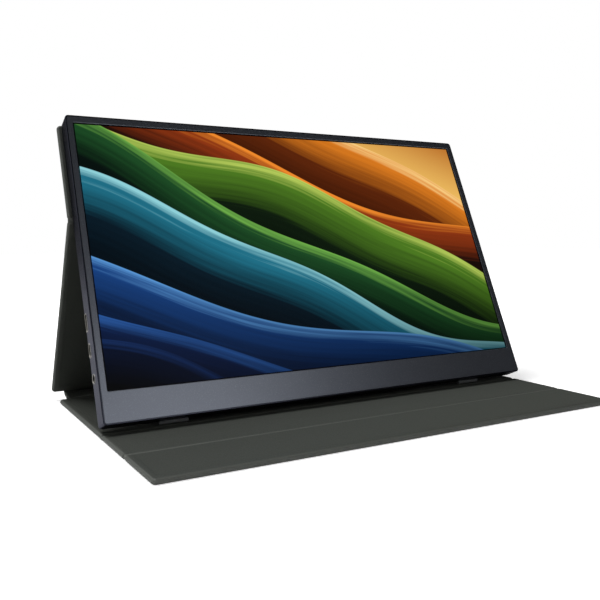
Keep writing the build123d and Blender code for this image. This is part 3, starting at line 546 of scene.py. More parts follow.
def panel(bm, origin, angle, low, high, half, cover, low_free=False, high_free=False, dips=()):
    """One stiff section of the cover from low to high along it, rounded at its free ends."""
    thick = cover.thickness / 2
    edge, radius, hem, step = cover.edge_radius, cover.corner_radius, cover.hem, cover.hem_step
    marks = {low, high}
    steps = end_steps(radius, edge, hem)
    if low_free:
        marks |= {low + d for d in steps}
    if high_free:
        marks |= {high - d for d in steps}
    for middle, spread, depth in dips:
        marks |= {middle + spread * t / 6 for t in range(-6, 7)}
    stations = []
    for s in sorted(marks):
        free = min([s - low] if low_free else [1.0], [high - s] if high_free else [1.0])[0]
        corner = max(0.0, radius - free)
        rim = max(0.0, edge - free)
        width = half - radius + math.sqrt(max(0.0, radius**2 - corner**2))
        up = thick - edge + math.sqrt(max(0.0, edge**2 - rim**2))
        sunk = sum(
            depth * (0.5 + 0.5 * math.cos(math.pi * (s - middle) / spread))
            for middle, spread, depth in dips if abs(s - middle) <= spread
        )
        y, z = along(origin, angle, s)
        here = step if free > hem + 0.0001 else 0.0
        # The rounded free end is painted lighter: rubbed wear and a painted highlight
        worn_and_lit = 0.5 * min(1.0, rim / edge) if rim else 0.0
        stations.append((y, z, angle, width, up - sunk, up, edge, hem, here, worn_and_lit))
    ribbon(bm, stations)


def fold(bm, start, axis, end, angles, half, cover, depth, width, wear):
    """A bend of bare leather from one section to the next, pressed thin along its middle, and painted
    lighter along it: rubbed wear and a painted highlight.
    """
    thick = cover.thickness / 2
    count = 32
    stations = []
    for i in range(count + 1):
        t = i / count
        y, z = (
            (1 - t) ** 2 * a + 2 * t * (1 - t) * b + t**2 * c for a, b, c in zip(start, axis, end)
        )
        angle = angles[0] + (angles[1] - angles[0]) * (t * t * (3 - 2 * t))
        away = abs(t - 0.5) * 2
        pressed = depth * max(0.0, 1 - (away / width) ** 2) ** 2
        # Lighter towards the fold's middle: rubbed wear and a painted highlight
        glow = wear * max(0.0, 1 - (away / width) ** 2)
        stations.append((
            y, z, angle, half, thick - cover.hem_step - pressed, thick - pressed * 0.9,
            cover.edge_radius, cover.hem, 0.0, glow,
        ))
    ribbon(bm, stations)


# Geometry Nodes for what repeats

FLOAT, INTEGER = "NodeSocketFloat", "NodeSocketInt"


def node_tree(name, sizes):
    """A tree with named sizes as its inputs, and those inputs' sockets by name."""
    tree = bpy.data.node_groups.new(name, "GeometryNodeTree")
    for label, kind, value in sizes:
        socket = tree.interface.new_socket(label, in_out="INPUT", socket_type=kind)
        socket.default_value = value
    tree.interface.new_socket("Geometry", in_out="OUTPUT", socket_type="NodeSocketGeometry")
    return tree, add(tree, "NodeGroupInput").node.outputs


def middle_row(tree, count, pitch):
    """Points in a row along Y, centred."""
    gaps = add(tree, MINUS, (count, 1.0))
    span = add(tree, TIMES, (gaps, pitch))
    first = add(tree, TIMES, (span, -0.5))
    return add(tree, "GeometryNodeMeshLine", {
        "Count": count, "Start Location": add(tree, VECTOR, {"Y": first}),
        "Offset": add(tree, VECTOR, {"Y": pitch}),
    })


def block(tree, sides, mark):
    """A box with these sides, its faces marked for finish_tree to give them their own material."""
    box = add(tree, "GeometryNodeMeshCube", {"Size": add(tree, VECTOR, sides)})
    stored = {"Geometry": box, "Name": mark, "Value": True}
    return add(tree, "GeometryNodeStoreNamedAttribute", stored, data_type="BOOLEAN", domain="FACE")


def stood(tree, made, height, ground=0.0):
    """A shape of this height, moved up from its middle so that it stands on the ground."""
    rise = add(tree, TIMES_PLUS, (height, 0.5, ground))
    lift = add(tree, VECTOR, {"Z": rise})
    return add(tree, "GeometryNodeTransform", {"Geometry": made, "Translation": lift})


def finish_tree(tree, made, material, marked=()):
    """The end of every tree: real copies with their material, and marked faces with another."""
    made = add(tree, "GeometryNodeRealizeInstances", (made,))
    made = add(tree, "GeometryNodeSetMaterial", {"Geometry": made, "Material": material})
    for mark, other in marked:
        chosen = add(tree, "GeometryNodeInputNamedAttribute", {"Name": mark}, data_type="BOOLEAN")
        given = {"Geometry": made, "Selection": chosen, "Material": other}
        made = add(tree, "GeometryNodeSetMaterial", given)
    add(tree, "NodeGroupOutput", (made,))


def contact_row(metal):
    """A row of sprung contacts, each a strip bowed up in its middle."""
    tree, given = node_tree("contact_row", (
        ("Count", INTEGER, 12), ("Pitch", FLOAT, 0.0005), ("Length", FLOAT, 0.0034),
        ("Width", FLOAT, 0.00027), ("Thickness", FLOAT, 0.0001), ("Bow", FLOAT, 0.00012),
    ))
    size = add(tree, VECTOR, (given["Length"], given["Width"], given["Thickness"]))
    strip = add(tree, "GeometryNodeMeshCube", {"Size": size, "Vertices X": 7})
    spot = add(tree, "ShaderNodeSeparateXYZ", (add(tree, "GeometryNodeInputPosition"),))
    along_it = add(tree, MATH, (spot, given["Length"]), operation="DIVIDE")
    angle = add(tree, TIMES, (along_it, math.pi))
    bent = add(tree, MATH, (angle,), operation="COSINE")
    rise = add(tree, TIMES, (bent, given["Bow"]))
    lift = add(tree, VECTOR, {"Z": rise})
    bowed = add(tree, "GeometryNodeSetPosition", {"Geometry": strip, "Offset": lift})
    row = middle_row(tree, given["Count"], given["Pitch"])
    spread_out = add(tree, "GeometryNodeInstanceOnPoints", {"Points": row, "Instance": bowed})
    finish_tree(tree, spread_out, metal)
    return tree


def socket_rim(metal):
    """The bright lip round a socket's mouth, where the cutter has taken off the dye."""
    tree, given = node_tree("socket_rim", (
        ("Width", FLOAT, 0.009), ("Height", FLOAT, 0.0034),
        ("Corner", FLOAT, 0.0016), ("Wire", FLOAT, 0.0002),
    ))
    mouth = add(tree, "GeometryNodeCurvePrimitiveQuadrilateral", (given["Width"], given["Height"]))
    path = add(tree, "GeometryNodeFilletCurve", {
        "Curve": mouth, "Count": 7, "Radius": given["Corner"],
    }, mode="POLY")
    round_wire = {"Resolution": 10, "Radius": given["Wire"]}
    wire = add(tree, "GeometryNodeCurvePrimitiveCircle", round_wire)
    lip = add(tree, "GeometryNodeCurveToMesh", {"Curve": path, "Profile Curve": wire})
    finish_tree(tree, lip, metal)
    return tree


def light_strip(board, case, phosphor):
    """The light bar: a thin printed strip, and a row of diodes with a phosphor window in each."""
    tree, given = node_tree("light_strip", (
        ("Count", INTEGER, 54), ("Pitch", FLOAT, 0.0064), ("Length", FLOAT, 0.3498),
        ("Depth", FLOAT, 0.0012), ("Strip thickness", FLOAT, 0.0004),
        ("Diode length", FLOAT, 0.003), ("Diode height", FLOAT, 0.00055),
    ))
    size = add(tree, VECTOR, (given["Depth"], given["Length"], given["Strip thickness"]))
    strip = add(tree, "GeometryNodeMeshCube", {"Size": size, "Vertices Y": 8})
    parts = [stood(tree, strip, given["Strip thickness"])]
    points = middle_row(tree, given["Count"], given["Pitch"])
    for mark, share, extra in (("case", 1.0, 0.0), ("phosphor", 0.78, 0.00005)):
        deep = add(tree, TIMES, (given["Depth"], 0.85 * share))
        long = add(tree, TIMES, (given["Diode length"], share))
        high = add(tree, MATH, (given["Diode height"], extra), operation="ADD")
        diode = stood(tree, block(tree, (deep, long, high), mark), high, given["Strip thickness"])
        row = {"Points": points, "Instance": diode}
        parts.append(add(tree, "GeometryNodeInstanceOnPoints", row))
    whole = add(tree, "GeometryNodeJoinGeometry", (parts,))
    finish_tree(tree, whole, board, (("case", case), ("phosphor", phosphor)))
    return tree


def small_parts(ceramic, tin):
    """A patch of chip capacitors on a grid, some left out and some turned, from a fixed seed."""
    tree, given = node_tree("small_parts", (
        ("Columns", INTEGER, 4), ("Rows", INTEGER, 8), ("Pitch", FLOAT, 0.0024),
        ("Length", FLOAT, 0.0016), ("Width", FLOAT, 0.0008), ("Left out", FLOAT, 0.2),
        ("Seed", INTEGER, 3),
    ))
    spans = []
    for side in ("Columns", "Rows"):
        gaps = add(tree, MINUS, (given[side], 1.0))
        spans.append(add(tree, TIMES, (gaps, given["Pitch"])))
    grid = add(tree, "GeometryNodeMeshGrid", (*spans, given["Columns"], given["Rows"]))
    points = add(tree, "GeometryNodeMeshToPoints", {"Mesh": grid})
    chance = {"Seed": given["Seed"], "Probability": given["Left out"]}
    gone = add(tree, "FunctionNodeRandomValue", chance, 3, data_type="BOOLEAN")
    kept = add(tree, "GeometryNodeDeleteGeometry", {"Geometry": points, "Selection": gone})
    other_seed = add(tree, MATH, (given["Seed"], 7.0), operation="ADD")
    across = add(tree, "FunctionNodeRandomValue", {"Seed": other_seed}, 3, data_type="BOOLEAN")
    quarter = add(tree, TIMES, (across, math.pi / 2))

    middle = add(tree, TIMES, (given["Length"], 0.5))
    size = add(tree, VECTOR, (middle, given["Width"], given["Width"]))
    body = add(tree, "GeometryNodeMeshCube", {"Size": size})
    short = add(tree, TIMES, (given["Length"], 0.25))
    thick = add(tree, TIMES, (given["Width"], 1.05))
    end = block(tree, (short, thick, thick), "tinned")
    first = add(tree, TIMES, (given["Length"], -0.375))
    apart = add(tree, TIMES, (given["Length"], 0.75))
    pair = add(tree, "GeometryNodeMeshLine", {
        "Count": 2, "Start Location": add(tree, VECTOR, {"X": first}),
        "Offset": add(tree, VECTOR, {"X": apart}),
    })
    ends = add(tree, "GeometryNodeInstanceOnPoints", {"Points": pair, "Instance": end})
    whole = add(tree, "GeometryNodeJoinGeometry", ([body, ends],))
    standing = stood(tree, whole, given["Width"])
    spread_out = add(tree, "GeometryNodeInstanceOnPoints", {"Points": kept, "Instance": standing})
    turn = add(tree, VECTOR, {"Z": quarter})
    turned = add(tree, "GeometryNodeRotateInstances", {"Instances": spread_out, "Rotation": turn})
    finish_tree(tree, turned, ceramic, (("tinned", tin),))
    return tree


def grow(tree, sizes, place):
    """The plain mesh that a tree makes with these sizes, set at its place in the frame."""
    holder = bpy.data.objects.new("grower", bpy.data.meshes.new("grower"))
    bpy.context.scene.collection.objects.link(holder)
    maker = holder.modifiers.new("grower", "NODES")
    maker.node_group = tree
    for item in tree.interface.items_tree:
        if item.in_out == "INPUT" and item.name in sizes:
            maker[item.identifier] = sizes[item.name]
    depsgraph = bpy.context.evaluated_depsgraph_get()
    mesh = bpy.data.meshes.new_from_object(holder.evaluated_get(depsgraph), depsgraph=depsgraph)
    holder.modifiers.clear()
    bpy.data.objects.remove(holder)
    for mark in ("case", "phosphor", "tinned"):
        if mark in mesh.attributes:
            mesh.attributes.remove(mesh.attributes[mark])
    mesh.transform(place)
    return mesh


def grown_piece(name, meshes, body):
    """Grown meshes joined into one piece that rides on a body."""
    first = bpy.data.objects.new(name, meshes[0])
    bpy.context.scene.collection.objects.link(first)
    for mesh in meshes[1:]:
        other = bpy.data.objects.new("joining", mesh)
        bpy.context.scene.collection.objects.link(other)
        both = [first, other]
        with bpy.context.temp_override(
            active_object=first, selected_editable_objects=both, selected_objects=both,
        ):
            bpy.ops.object.join()
    first.data.name = name
    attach(first, body)
    return first


# Settings that a user would change


class CoverSettings(PropertyGroup):
    thickness: FloatProperty(
        name="Thickness", description="Thickness of a wrapped section", default=0.0034,
        unit="LENGTH", precision=5,
    )
    edge_radius: FloatProperty(
        name="Edge radius", description="Radius of the leather turned round the board",
        default=0.00165, unit="LENGTH", precision=5,
    )
    corner_radius: FloatProperty(
        name="Corner radius", description="Radius of the cover's free corners, seen flat",
        default=0.003, unit="LENGTH", precision=5,
    )
    hem: FloatProperty(
        name="Hem", description="Width of leather turned onto the lining side",
        default=0.005, unit="LENGTH", precision=5,
    )
    hem_step: FloatProperty(
        name="Hem step", description="Height of the hem above the lining",
        default=0.00008, unit="LENGTH", precision=6,
    )
    skin_colour: FloatVectorProperty(
        name="Leather", description="Colour of the leather", default=linear("40433e")[:3],
        subtype="COLOR", size=3, min=0.0, max=1.0,
    )
    # Lighter colour on edges and folds: rubbed wear and a painted highlight
    worn_and_lit_colour: FloatVectorProperty(
        name="Rubbed and highlighted leather", description="Colour of the leather on edges and folds",
        default=linear("7d807b")[:3], subtype="COLOR", size=3, min=0.0, max=1.0,
    )


class ScreenSettings(PropertyGroup):
    picture_width: FloatProperty(
        name="Picture width", description="Width of the lit picture", default=0.3442,
        unit="LENGTH", precision=5,
    )
    picture_height: FloatProperty(
        name="Picture height", description="Height of the lit picture", default=0.1936,
        unit="LENGTH", precision=5,
    )
    chin: FloatProperty(
        name="Chin", description="Height of the plate below the picture", default=0.0214,
        unit="LENGTH", precision=5,
    )


class HousingSettings(PropertyGroup):
    plate_edge: FloatProperty(
        name="Plate edge", description="Width of the front plate's softened edge", default=0.0005,
        unit="LENGTH", precision=6,
    )
    edge: FloatProperty(
        name="Edge softness", description="Width of the softened metal edges", default=0.00015,
        unit="LENGTH", precision=6,
    )
    shell_colour: FloatVectorProperty(
        name="Housing", description="Colour of the anodised housing", default=linear("2a2c34")[:3],
        subtype="COLOR", size=3, min=0.0, max=1.0,
    )
    plate_colour: FloatVectorProperty(
        name="Front plate", description="Colour of the front plate", default=linear("62666f")[:3],
        subtype="COLOR", size=3, min=0.0, max=1.0,
    )


class ElectronicsSettings(PropertyGroup):
    diodes: IntProperty(name="Diodes", description="Diodes along the light bar", default=54, min=2)
    contacts: IntProperty(
        name="Contacts", description="Contacts on each side of the small oblong socket's tongue",
        default=12, min=2,
    )
    contact_pitch: FloatProperty(
        name="Contact pitch", description="Distance between those contacts", default=0.0005,
        unit="LENGTH", precision=6,
    )


class StudioSettings(PropertyGroup):
    key: FloatProperty(
        name="Key light", description="Power of the soft light in front", default=2.85,
        subtype="POWER", min=0.0,
    )
    top: FloatProperty(
        name="Top light", description="Power of the soft light overhead", default=23.5,
        subtype="POWER", min=0.0,
    )
    side: FloatProperty(
        name="Side light", description="Power of the soft light at the left", default=2.0,
        subtype="POWER", min=0.0,
    )
    room: FloatProperty(
        name="Room light", description="Even light from all round", default=0.1,
        subtype="FACTOR", min=0.0, max=1.0,
    )
    glow: FloatProperty(
        name="Floor glow", description="How white the camera sees the floor close to the object",
        default=0.6, subtype="FACTOR", min=0.0, max=1.0,
    )
    floor_size: FloatProperty(
        name="Floor", description="Length of the floor's side", default=8.0, unit="LENGTH",
    )


# Operators


class MONITOR_OT_studio(Operator):
    """Floor, lights, world and camera"""

    bl_idname = "monitor.studio"
    bl_label = "Studio"

    def execute(self, context):
        studio = context.scene.monitor_studio
        make_floor(studio)
        make_world(studio)
        make_lights(studio)
        make_camera(context.scene)
        context.scene.view_settings.view_transform = "Standard"
        return {"FINISHED"}


def make_floor(studio):
    """A pale sheet that the object stands on, which the camera sees as white with a soft shadow."""
    material, tree, place = blank_material("studio_floor")
    shades = {6: linear("f0f0f0"), 7: linear("f6f6f6")}
    paper = {0: blotches(tree, place, 0.002), **shades}
    seen = add(tree, "ShaderNodeLightPath", out="Is Camera Ray")
    away = add(tree, "ShaderNodeVectorMath", (place,), "Value", operation="LENGTH")
    glow = add(tree, RANGE, (away, 0.25, 0.9, studio.glow, 1.0))
    finish_material(tree, {
        "Base Color": add(tree, COLOUR_MIX, paper, 2),
        "Roughness": 1.0, "Specular IOR Level": 0.0, "Emission Color": (1, 1, 1, 1),
        "Emission Strength": add(tree, TIMES, (seen, glow)),
    })
    bm = bmesh.new()
    bmesh.ops.create_grid(bm, x_segments=8, y_segments=8, size=studio.floor_size / 2)
    floor = new_piece("studio_floor", bm, material)


def make_world(studio):
    """White where the camera sees it. Mirrored, it is grey at the horizon and dark above."""
    world = bpy.data.worlds.new("studio_world")
    bpy.context.scene.world = world
    world.use_nodes = True
    tree = world.node_tree
    tree.nodes.clear()
    path = add(tree, "ShaderNodeLightPath").node.outputs
    facing = add(tree, "ShaderNodeTexCoord", out="Generated")
    look = add(tree, "ShaderNodeSeparateXYZ", (facing,)).node.outputs
    backdrop = add(tree, RANGE, (look["Z"], 0.0, 0.3, 0.2, 0.04))
    rays = (path["Is Camera Ray"], path["Is Transmission Ray"])
    seen = add(tree, MATH, rays, operation="MAXIMUM")
    mirrored = add(tree, TIMES, (path["Is Glossy Ray"], backdrop))
    white = add(tree, MATH, (seen, mirrored), operation="MAXIMUM")
    other = add(tree, MATH, (seen, path["Is Glossy Ray"]), operation="MAXIMUM")
    matt = add(tree, MINUS, (1.0, other))
    strength = add(tree, TIMES_PLUS, (matt, studio.room, white))
    background = add(tree, "ShaderNodeBackground", {"Color": (1, 1, 1, 1), "Strength": strength})
    add(tree, "ShaderNodeOutputWorld", (background,))


def make_lights(studio):
    """Three soft boxes: in front, whose mirror image fades along the chin, above, and left."""
    boxes = (
        ("key_light", studio.key, 0.7, 0.4, (math.radians(15), math.radians(28)), 1.5),
        ("top_light", studio.top, 1.0, 0.8, (math.radians(-135), math.radians(66)), 1.7),
        ("side_light", studio.side, 0.7, 0.5, (math.radians(-80), math.radians(32)), 1.3),
    )
    for name, power, width, height, (turn, rise), distance in boxes:
        light = bpy.data.lights.new(name, "AREA")
        light.shape = "RECTANGLE"
        light.size = width
        light.size_y = height
        light.energy = power
        lamp = bpy.data.objects.new(name, light)
        bpy.context.scene.collection.objects.link(lamp)
        aim = Vector((0, 0, 0.08))
        level = math.cos(rise)
        out = Vector((math.sin(turn) * level, -math.cos(turn) * level, math.sin(rise)))
        lamp.location = aim + out * distance
        lamp.rotation_mode = "QUATERNION"
        lamp.rotation_quaternion = (-out).to_track_quat("-Z", "Y")


def make_camera(scene):
    """The camera fitted to the photograph's screen corners and straight edges.

    The fit gives its angles, its place, its focal length in pixels and the row of its axis.
    """
    yaw, pitch, roll = (math.radians(a) for a in (30.1153, 2.6872, -0.1132))
    spot = (-0.300269, -0.475326, 0.129314)
    focal, axis_row, picture = 745.578, 266.174, 600
    level = math.cos(pitch)
    forward = Vector((math.sin(yaw) * level, math.cos(yaw) * level, -math.sin(pitch)))
    right = Vector((math.cos(yaw), -math.sin(yaw), 0))
    up = right.cross(forward)
    right, up = (
        math.cos(roll) * right + math.sin(roll) * up,
        -math.sin(roll) * right + math.cos(roll) * up,
    )
    lens = bpy.data.cameras.new("photo_camera")
    lens.sensor_width = 36.0
    lens.sensor_fit = "HORIZONTAL"
    lens.lens = focal / picture * lens.sensor_width
    lens.shift_y = (axis_row - (picture - 1) / 2) / picture
    lens.clip_start = 0.02
    lens.clip_end = 60.0
    camera = bpy.data.objects.new("photo_camera", lens)
    scene.collection.objects.link(camera)
    turn = Matrix((right, up, -forward)).transposed().to_4x4()
    camera.matrix_world = Matrix.Translation(spot) @ turn
    scene.camera = camera


class MONITOR_OT_cover(Operator):
    """The wrapped sections of the cover and the leather folds between them"""

    bl_idname = "monitor.cover"
    bl_label = "Folding cover"

    def execute(self, context):
        cover = context.scene.monitor_cover
        leather = cover_leather(
            "polyurethane_leather", (*cover.skin_colour, 1.0), (*cover.worn_and_lit_colour, 1.0)
        )
        flap_half = (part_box("front_flap_skin")[1].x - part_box("front_flap_skin")[0].x) / 2
        back_half = (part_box("leg_skin")[1].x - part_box("leg_skin")[0].x) / 2
        spine_half = SPINE_WIDTH / 2
        gap = FOLD_HALF_GAP

        bm = bmesh.new()
        ground = (0.0, cover.thickness / 2)
        panel(
            bm, ground, 0.0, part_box("front_flap_skin")[0].y, FOLD_AXIS[0] - gap, flap_half, cover,
            low_free=True,
        )
        piece = new_piece("flap_leather", bm, leather, "front_flap")
        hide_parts("front_flap_skin", "front_flap_lining")

        bm = bmesh.new()
        panel(
            bm, ground, 0.0, FOLD_AXIS[0] + gap, SPINE_AXIS[0] - gap, flap_half, cover,
            high_free=True, dips=((GROOVE, gap, GROOVE_DEPTH),),
        )
        edge = along(SPINE_AXIS, 0.0, -gap - FOLD_TUCK)
        far = along(SPINE_AXIS, SPINE_RISE, gap)
        fold(
            bm, edge, SPINE_AXIS, far, (0.0, SPINE_RISE), spine_half - FOLD_INSET, cover,
            depth=0.6 * MM, width=0.7, wear=0.4,
        )
        panel(bm, SPINE_AXIS, SPINE_RISE, gap, SPINE_LENGTH - SPINE_FOOT_GAP, spine_half, cover)
        piece = new_piece("base_leather", bm, leather, "base")
        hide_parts("base_skin", "base_lining")

        lean = math.pi / 2 + LEG_LEAN
        bm = bmesh.new()
        panel(bm, FOOT_AXIS, lean, LEG_FOOT_GAP, LEG_LENGTH - gap, back_half, cover, low_free=True)
        piece = new_piece("leg_leather", bm, leather, "leg")
        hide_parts("leg_skin", "leg_lining")

        rise = math.pi / 2 - TILT
        bm = bmesh.new()
        panel(bm, CREASE_AXIS, rise, gap, BACK_LENGTH, back_half, cover, high_free=True)
        piece = new_piece("back_leather", bm, leather, "monitor")
        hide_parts("upper_back_skin", "upper_back_lining")

        bm = bmesh.new()
        start, end = (FOLD_AXIS[0] + gap, FOLD_AXIS[1]), (FOLD_AXIS[0] - gap, FOLD_AXIS[1])
        fold(
            bm, end, FOLD_AXIS, start, (0.0, 0.0), flap_half - FOLD_INSET, cover,
            depth=0.7 * MM, width=0.45, wear=0.9,
        )
        piece = new_piece("front_fold_leather", bm, leather)
        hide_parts("front_fold_strip")
        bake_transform(piece, "base", "front_flap", start=(0, *start), end=(0, *end))

        bm = bmesh.new()
        start = along(FOOT_AXIS, SPINE_RISE, -SPINE_FOOT_GAP)
        end = along(FOOT_AXIS, lean, LEG_FOOT_GAP)
        fold(
            bm, start, FOOT_AXIS, end, (SPINE_RISE, lean), spine_half - FOLD_INSET, cover,
            depth=0.9 * MM, width=1.2, wear=0.5,
        )
        piece = new_piece("foot_fold_leather", bm, leather)
        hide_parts("foot_fold_strip")
        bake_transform(piece, "base", "leg", start=(0, *start), end=(0, *end))

        bm = bmesh.new()
        start = along(CREASE_AXIS, lean, -gap)
        end = along(CREASE_AXIS, rise, gap)
        fold(
            bm, start, CREASE_AXIS, end, (lean, rise), back_half - FOLD_INSET, cover,
            depth=0.7 * MM, width=0.7, wear=0.6,
        )
        piece = new_piece("crease_fold_leather", bm, leather)
        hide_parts("crease_fold_strip")
        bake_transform(piece, "leg", "monitor", start=(0, *start), end=(0, *end))
        return {"FINISHED"}


class MONITOR_OT_housing(Operator):
    """The metal rear housing and the satin front plate"""

    bl_idname = "monitor.housing"
    bl_label = "Housing and front plate"

    def execute(self, context):
        housing = context.scene.monitor_housing
        metal = anodised_shell(
            "anodised_aluminium", (*housing.shell_colour, 1.0), 0.3, linear("dddee8"),
        )
        plate = satin_plate("flake_lacquer", (*housing.plate_colour, 1.0), linear("8c9099"))
        softened("rear_housing", "housing_shell", metal, "monitor", housing.edge)
        softened("front_bezel", "front_plate", plate, "monitor", housing.plate_edge)
        return {"FINISHED"}


def softened(node, name, material, body, width):
    """A copy of a node whose sharp edges are rounded, as tumbling or moulding leaves them."""
    piece = new_piece(name, from_frame(node), material, body)
    soften = piece.modifiers.new("soft_edges", "BEVEL")
    soften.width = width
    soften.segments = 2
    soften.limit_method = "ANGLE"
    soften.angle_limit = ROUND_ABOVE
    level = piece.modifiers.new("flat_faces", "WEIGHTED_NORMAL")
    level.keep_sharp = True
    level.weight = 100
    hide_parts(node)
    return piece


class MONITOR_OT_keys(Operator):
    """The power button and the menu rocker on the right side"""

    bl_idname = "monitor.keys"
    bl_label = "Side keys"

    def execute(self, context):
        material = moulded_plastic("painted_abs", linear("232427"), 0.0004, 0.4)
        width = context.scene.monitor_housing.edge
        softened("power_button", "power_key", material, "power_button", width)
        softened("menu_rocker", "rocker_key", material, "menu_rocker", width)
        return {"FINISHED"}


class MONITOR_OT_feet(Operator):
    """The two rubber bars that the monitor stands on"""

    bl_idname = "monitor.feet"
    bl_label = "Rubber feet"

    def execute(self, context):
        material = moulded_plastic("silicone_rubber", linear("85888b"), 0.0009, 0.7)
        softened("rubber_feet", "foot_bars", material, "monitor", 0.0002)
        return {"FINISHED"}


class MONITOR_OT_sockets(Operator):
    """The sprung contacts on two sockets' tongues, and the bright lips round all three mouths"""

    bl_idname = "monitor.sockets"
    bl_label = "Socket contacts and lips"

    def execute(self, context):
        electronics = context.scene.monitor_electronics
        gold = anodised_shell("gold_plated_bronze", linear("c9a45c"))
        tree = contact_row(gold)
        meshes = []
        both_sides = (electronics.contacts, electronics.contacts)
        for up, depth, length, pitch, counts, width in (
            (USB_UP, USB_DEPTH, 3.4 * MM, electronics.contact_pitch, both_sides, 0.27 * MM),
            (HDMI_UP, HDMI_DEPTH, 3.8 * MM, 0.66 * MM, (10, 9), 0.32 * MM),
        ):
            for count, side in zip(counts, (1, -1)):
                spot = (MOUTH + TONGUE_IN + length / 2, up, -depth + side * TONGUE_HALF)
                flip = Matrix.Rotation(0.0 if side > 0 else math.pi, 4, "X")
                sizes = {"Count": count, "Pitch": pitch, "Length": length, "Width": width}
                meshes.append(grow(tree, sizes, FACE @ Matrix.Translation(spot) @ flip))
        grown_piece("socket_contacts", meshes, "monitor")

        tree = socket_rim(anodised_shell("cut_aluminium", linear("c9c7bf"), 0.45))
        turn = Matrix(((0, 0, 1), (1, 0, 0), (0, 1, 0))).to_4x4()
        meshes = []
        for up, depth, width, height, corner in (
            (HDMI_UP, HDMI_DEPTH, 11.9, 3.9, 0.7), (USB_UP, USB_DEPTH, 9.6, 3.9, 1.94),
            (JACK_UP, JACK_DEPTH, 6.2, 6.2, 3.09),
        ):
            sizes = {"Width": width * MM, "Height": height * MM, "Corner": corner * MM}
            spot = Matrix.Translation((WALL_LEFT, up, -depth))
            meshes.append(grow(tree, sizes, FACE @ spot @ turn))
        grown_piece("socket_rims", meshes, "monitor")
        return {"FINISHED"}


class MONITOR_OT_backlight(Operator):
    """The strip of diodes that feeds the light guide"""

    bl_idname = "monitor.backlight"
    bl_label = "Light bar"

    def execute(self, context):
        board = moulded_plastic("white_solder_mask", linear("e7e3d4"), 0.0012, 0.5)
        case = moulded_plastic("white_nylon", linear("efede6"), 0.0008, 0.5)
        phosphor = moulded_plastic("yellow_phosphor_gel", linear("e6c63a"), 0.0005, 0.25)
        spot = Matrix.Translation((0, LIGHT_BAR_UP, -LIGHT_BAR_DEPTH))
        turn = Matrix(((0, 1, 0), (0, 0, 1), (1, 0, 0))).to_4x4()
        sizes = {"Count": context.scene.monitor_electronics.diodes}
        mesh = grow(light_strip(board, case, phosphor), sizes, FACE @ spot @ turn)
        piece = grown_piece("diode_strip", [mesh], "monitor")
        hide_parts("led_bar")
        return {"FINISHED"}


class MONITOR_OT_boards(Operator):
    """The circuit boards, and the small parts soldered to the main one"""

    bl_idname = "monitor.boards"
    bl_label = "Circuit boards"

    def execute(self, context):
        paint("main_board", circuit_board("main_board_laminate", BOARD_BACK))
        paint("panel_driver_board", circuit_board("driver_board_laminate", DRIVER_BACK))
        paint("button_board", circuit_board("key_board_laminate", 1.0))
        ceramic = moulded_plastic("tan_ceramic", linear("8d6f4c"), 0.0006, 0.5)
        tin = anodised_shell("tinned_copper", linear("cfcfca"))
        tree = small_parts(ceramic, tin)
        meshes = []
        flip = Matrix.Rotation(math.pi, 4, "X")
        for x, up, columns, rows, seed in (
            (-156.0, 58.0, 4, 9, 3), (-129.0, 70.0, 4, 6, 11),
            (-100.0, 52.0, 4, 7, 23), (-128.0, 33.0, 6, 3, 31),
        ):
            spot = Matrix.Translation((x * MM, up * MM, -BOARD_BACK))
            sizes = {"Columns": columns, "Rows": rows, "Seed": seed}
            meshes.append(grow(tree, sizes, FACE @ spot @ flip))
        grown_piece("board_small_parts", meshes, "monitor")
        return {"FINISHED"}


class MONITOR_OT_screen(Operator):
    """The lit display"""

    bl_idname = "monitor.screen"
    bl_label = "Screen"

    def execute(self, context):
        screen = context.scene.monitor_screen
        material = screen_picture(
            "lit_display", screen.picture_width, screen.picture_height, screen.chin
        )
        paint("lcd_cell", material)
        return {"FINISHED"}


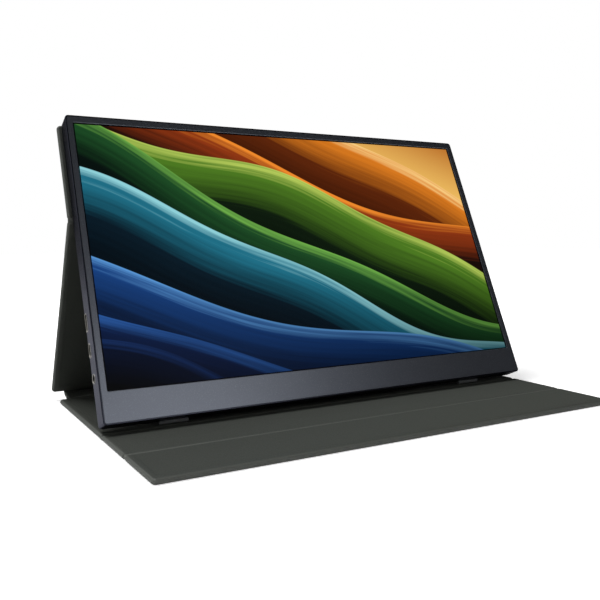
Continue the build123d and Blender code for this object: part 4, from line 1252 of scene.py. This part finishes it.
class MONITOR_OT_inside(Operator):
    """Materials of every other piece of the frame"""

    bl_idname = "monitor.inside"
    bl_label = "Inner pieces"

    def execute(self, context):
        found = plain_parts()
        for row in frame["record"]["subparts"]:
            if row["material_slot"] in found:
                paint(row["node"], found[row["material_slot"]])
        return {"FINISHED"}


def paint(node, material):
    """Gives a node of the frame its material."""
    holder = frame["nodes"][node]
    if not holder.material_slots:
        holder.data.materials.append(None)
    for place in holder.material_slots:
        place.material = material


class MONITOR_PT_panel(Panel):
    bl_idname = "MONITOR_PT_panel"
    bl_label = "Portable monitor"
    bl_space_type = "VIEW_3D"
    bl_region_type = "UI"
    bl_category = "Monitor"

    def draw(self, context):
        for step in STEPS:
            self.layout.operator(step.bl_idname)


STEPS = (
    MONITOR_OT_studio, MONITOR_OT_cover, MONITOR_OT_housing, MONITOR_OT_screen, MONITOR_OT_keys,
    MONITOR_OT_feet, MONITOR_OT_sockets, MONITOR_OT_backlight, MONITOR_OT_boards, MONITOR_OT_inside,
)
CLASSES = (
    CoverSettings, ScreenSettings, HousingSettings, ElectronicsSettings, StudioSettings, *STEPS,
    MONITOR_PT_panel,
)
SETTINGS = {
    "monitor_cover": CoverSettings,
    "monitor_screen": ScreenSettings,
    "monitor_housing": HousingSettings,
    "monitor_electronics": ElectronicsSettings,
    "monitor_studio": StudioSettings,
}


def register():
    for kind in CLASSES:
        bpy.utils.register_class(kind)
    for name, kind in SETTINGS.items():
        setattr(bpy.types.Scene, name, PointerProperty(type=kind))


def unregister():
    for name in SETTINGS:
        delattr(bpy.types.Scene, name)
    for kind in reversed(CLASSES):
        bpy.utils.unregister_class(kind)


def main():
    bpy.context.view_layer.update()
    register()
    bpy.ops.monitor.studio()
    bpy.ops.monitor.cover()
    bpy.ops.monitor.housing()
    bpy.ops.monitor.screen()
    bpy.ops.monitor.keys()
    bpy.ops.monitor.feet()
    bpy.ops.monitor.sockets()
    bpy.ops.monitor.backlight()
    bpy.ops.monitor.boards()
    bpy.ops.monitor.inside()


if __name__ == "__main__":
    main()
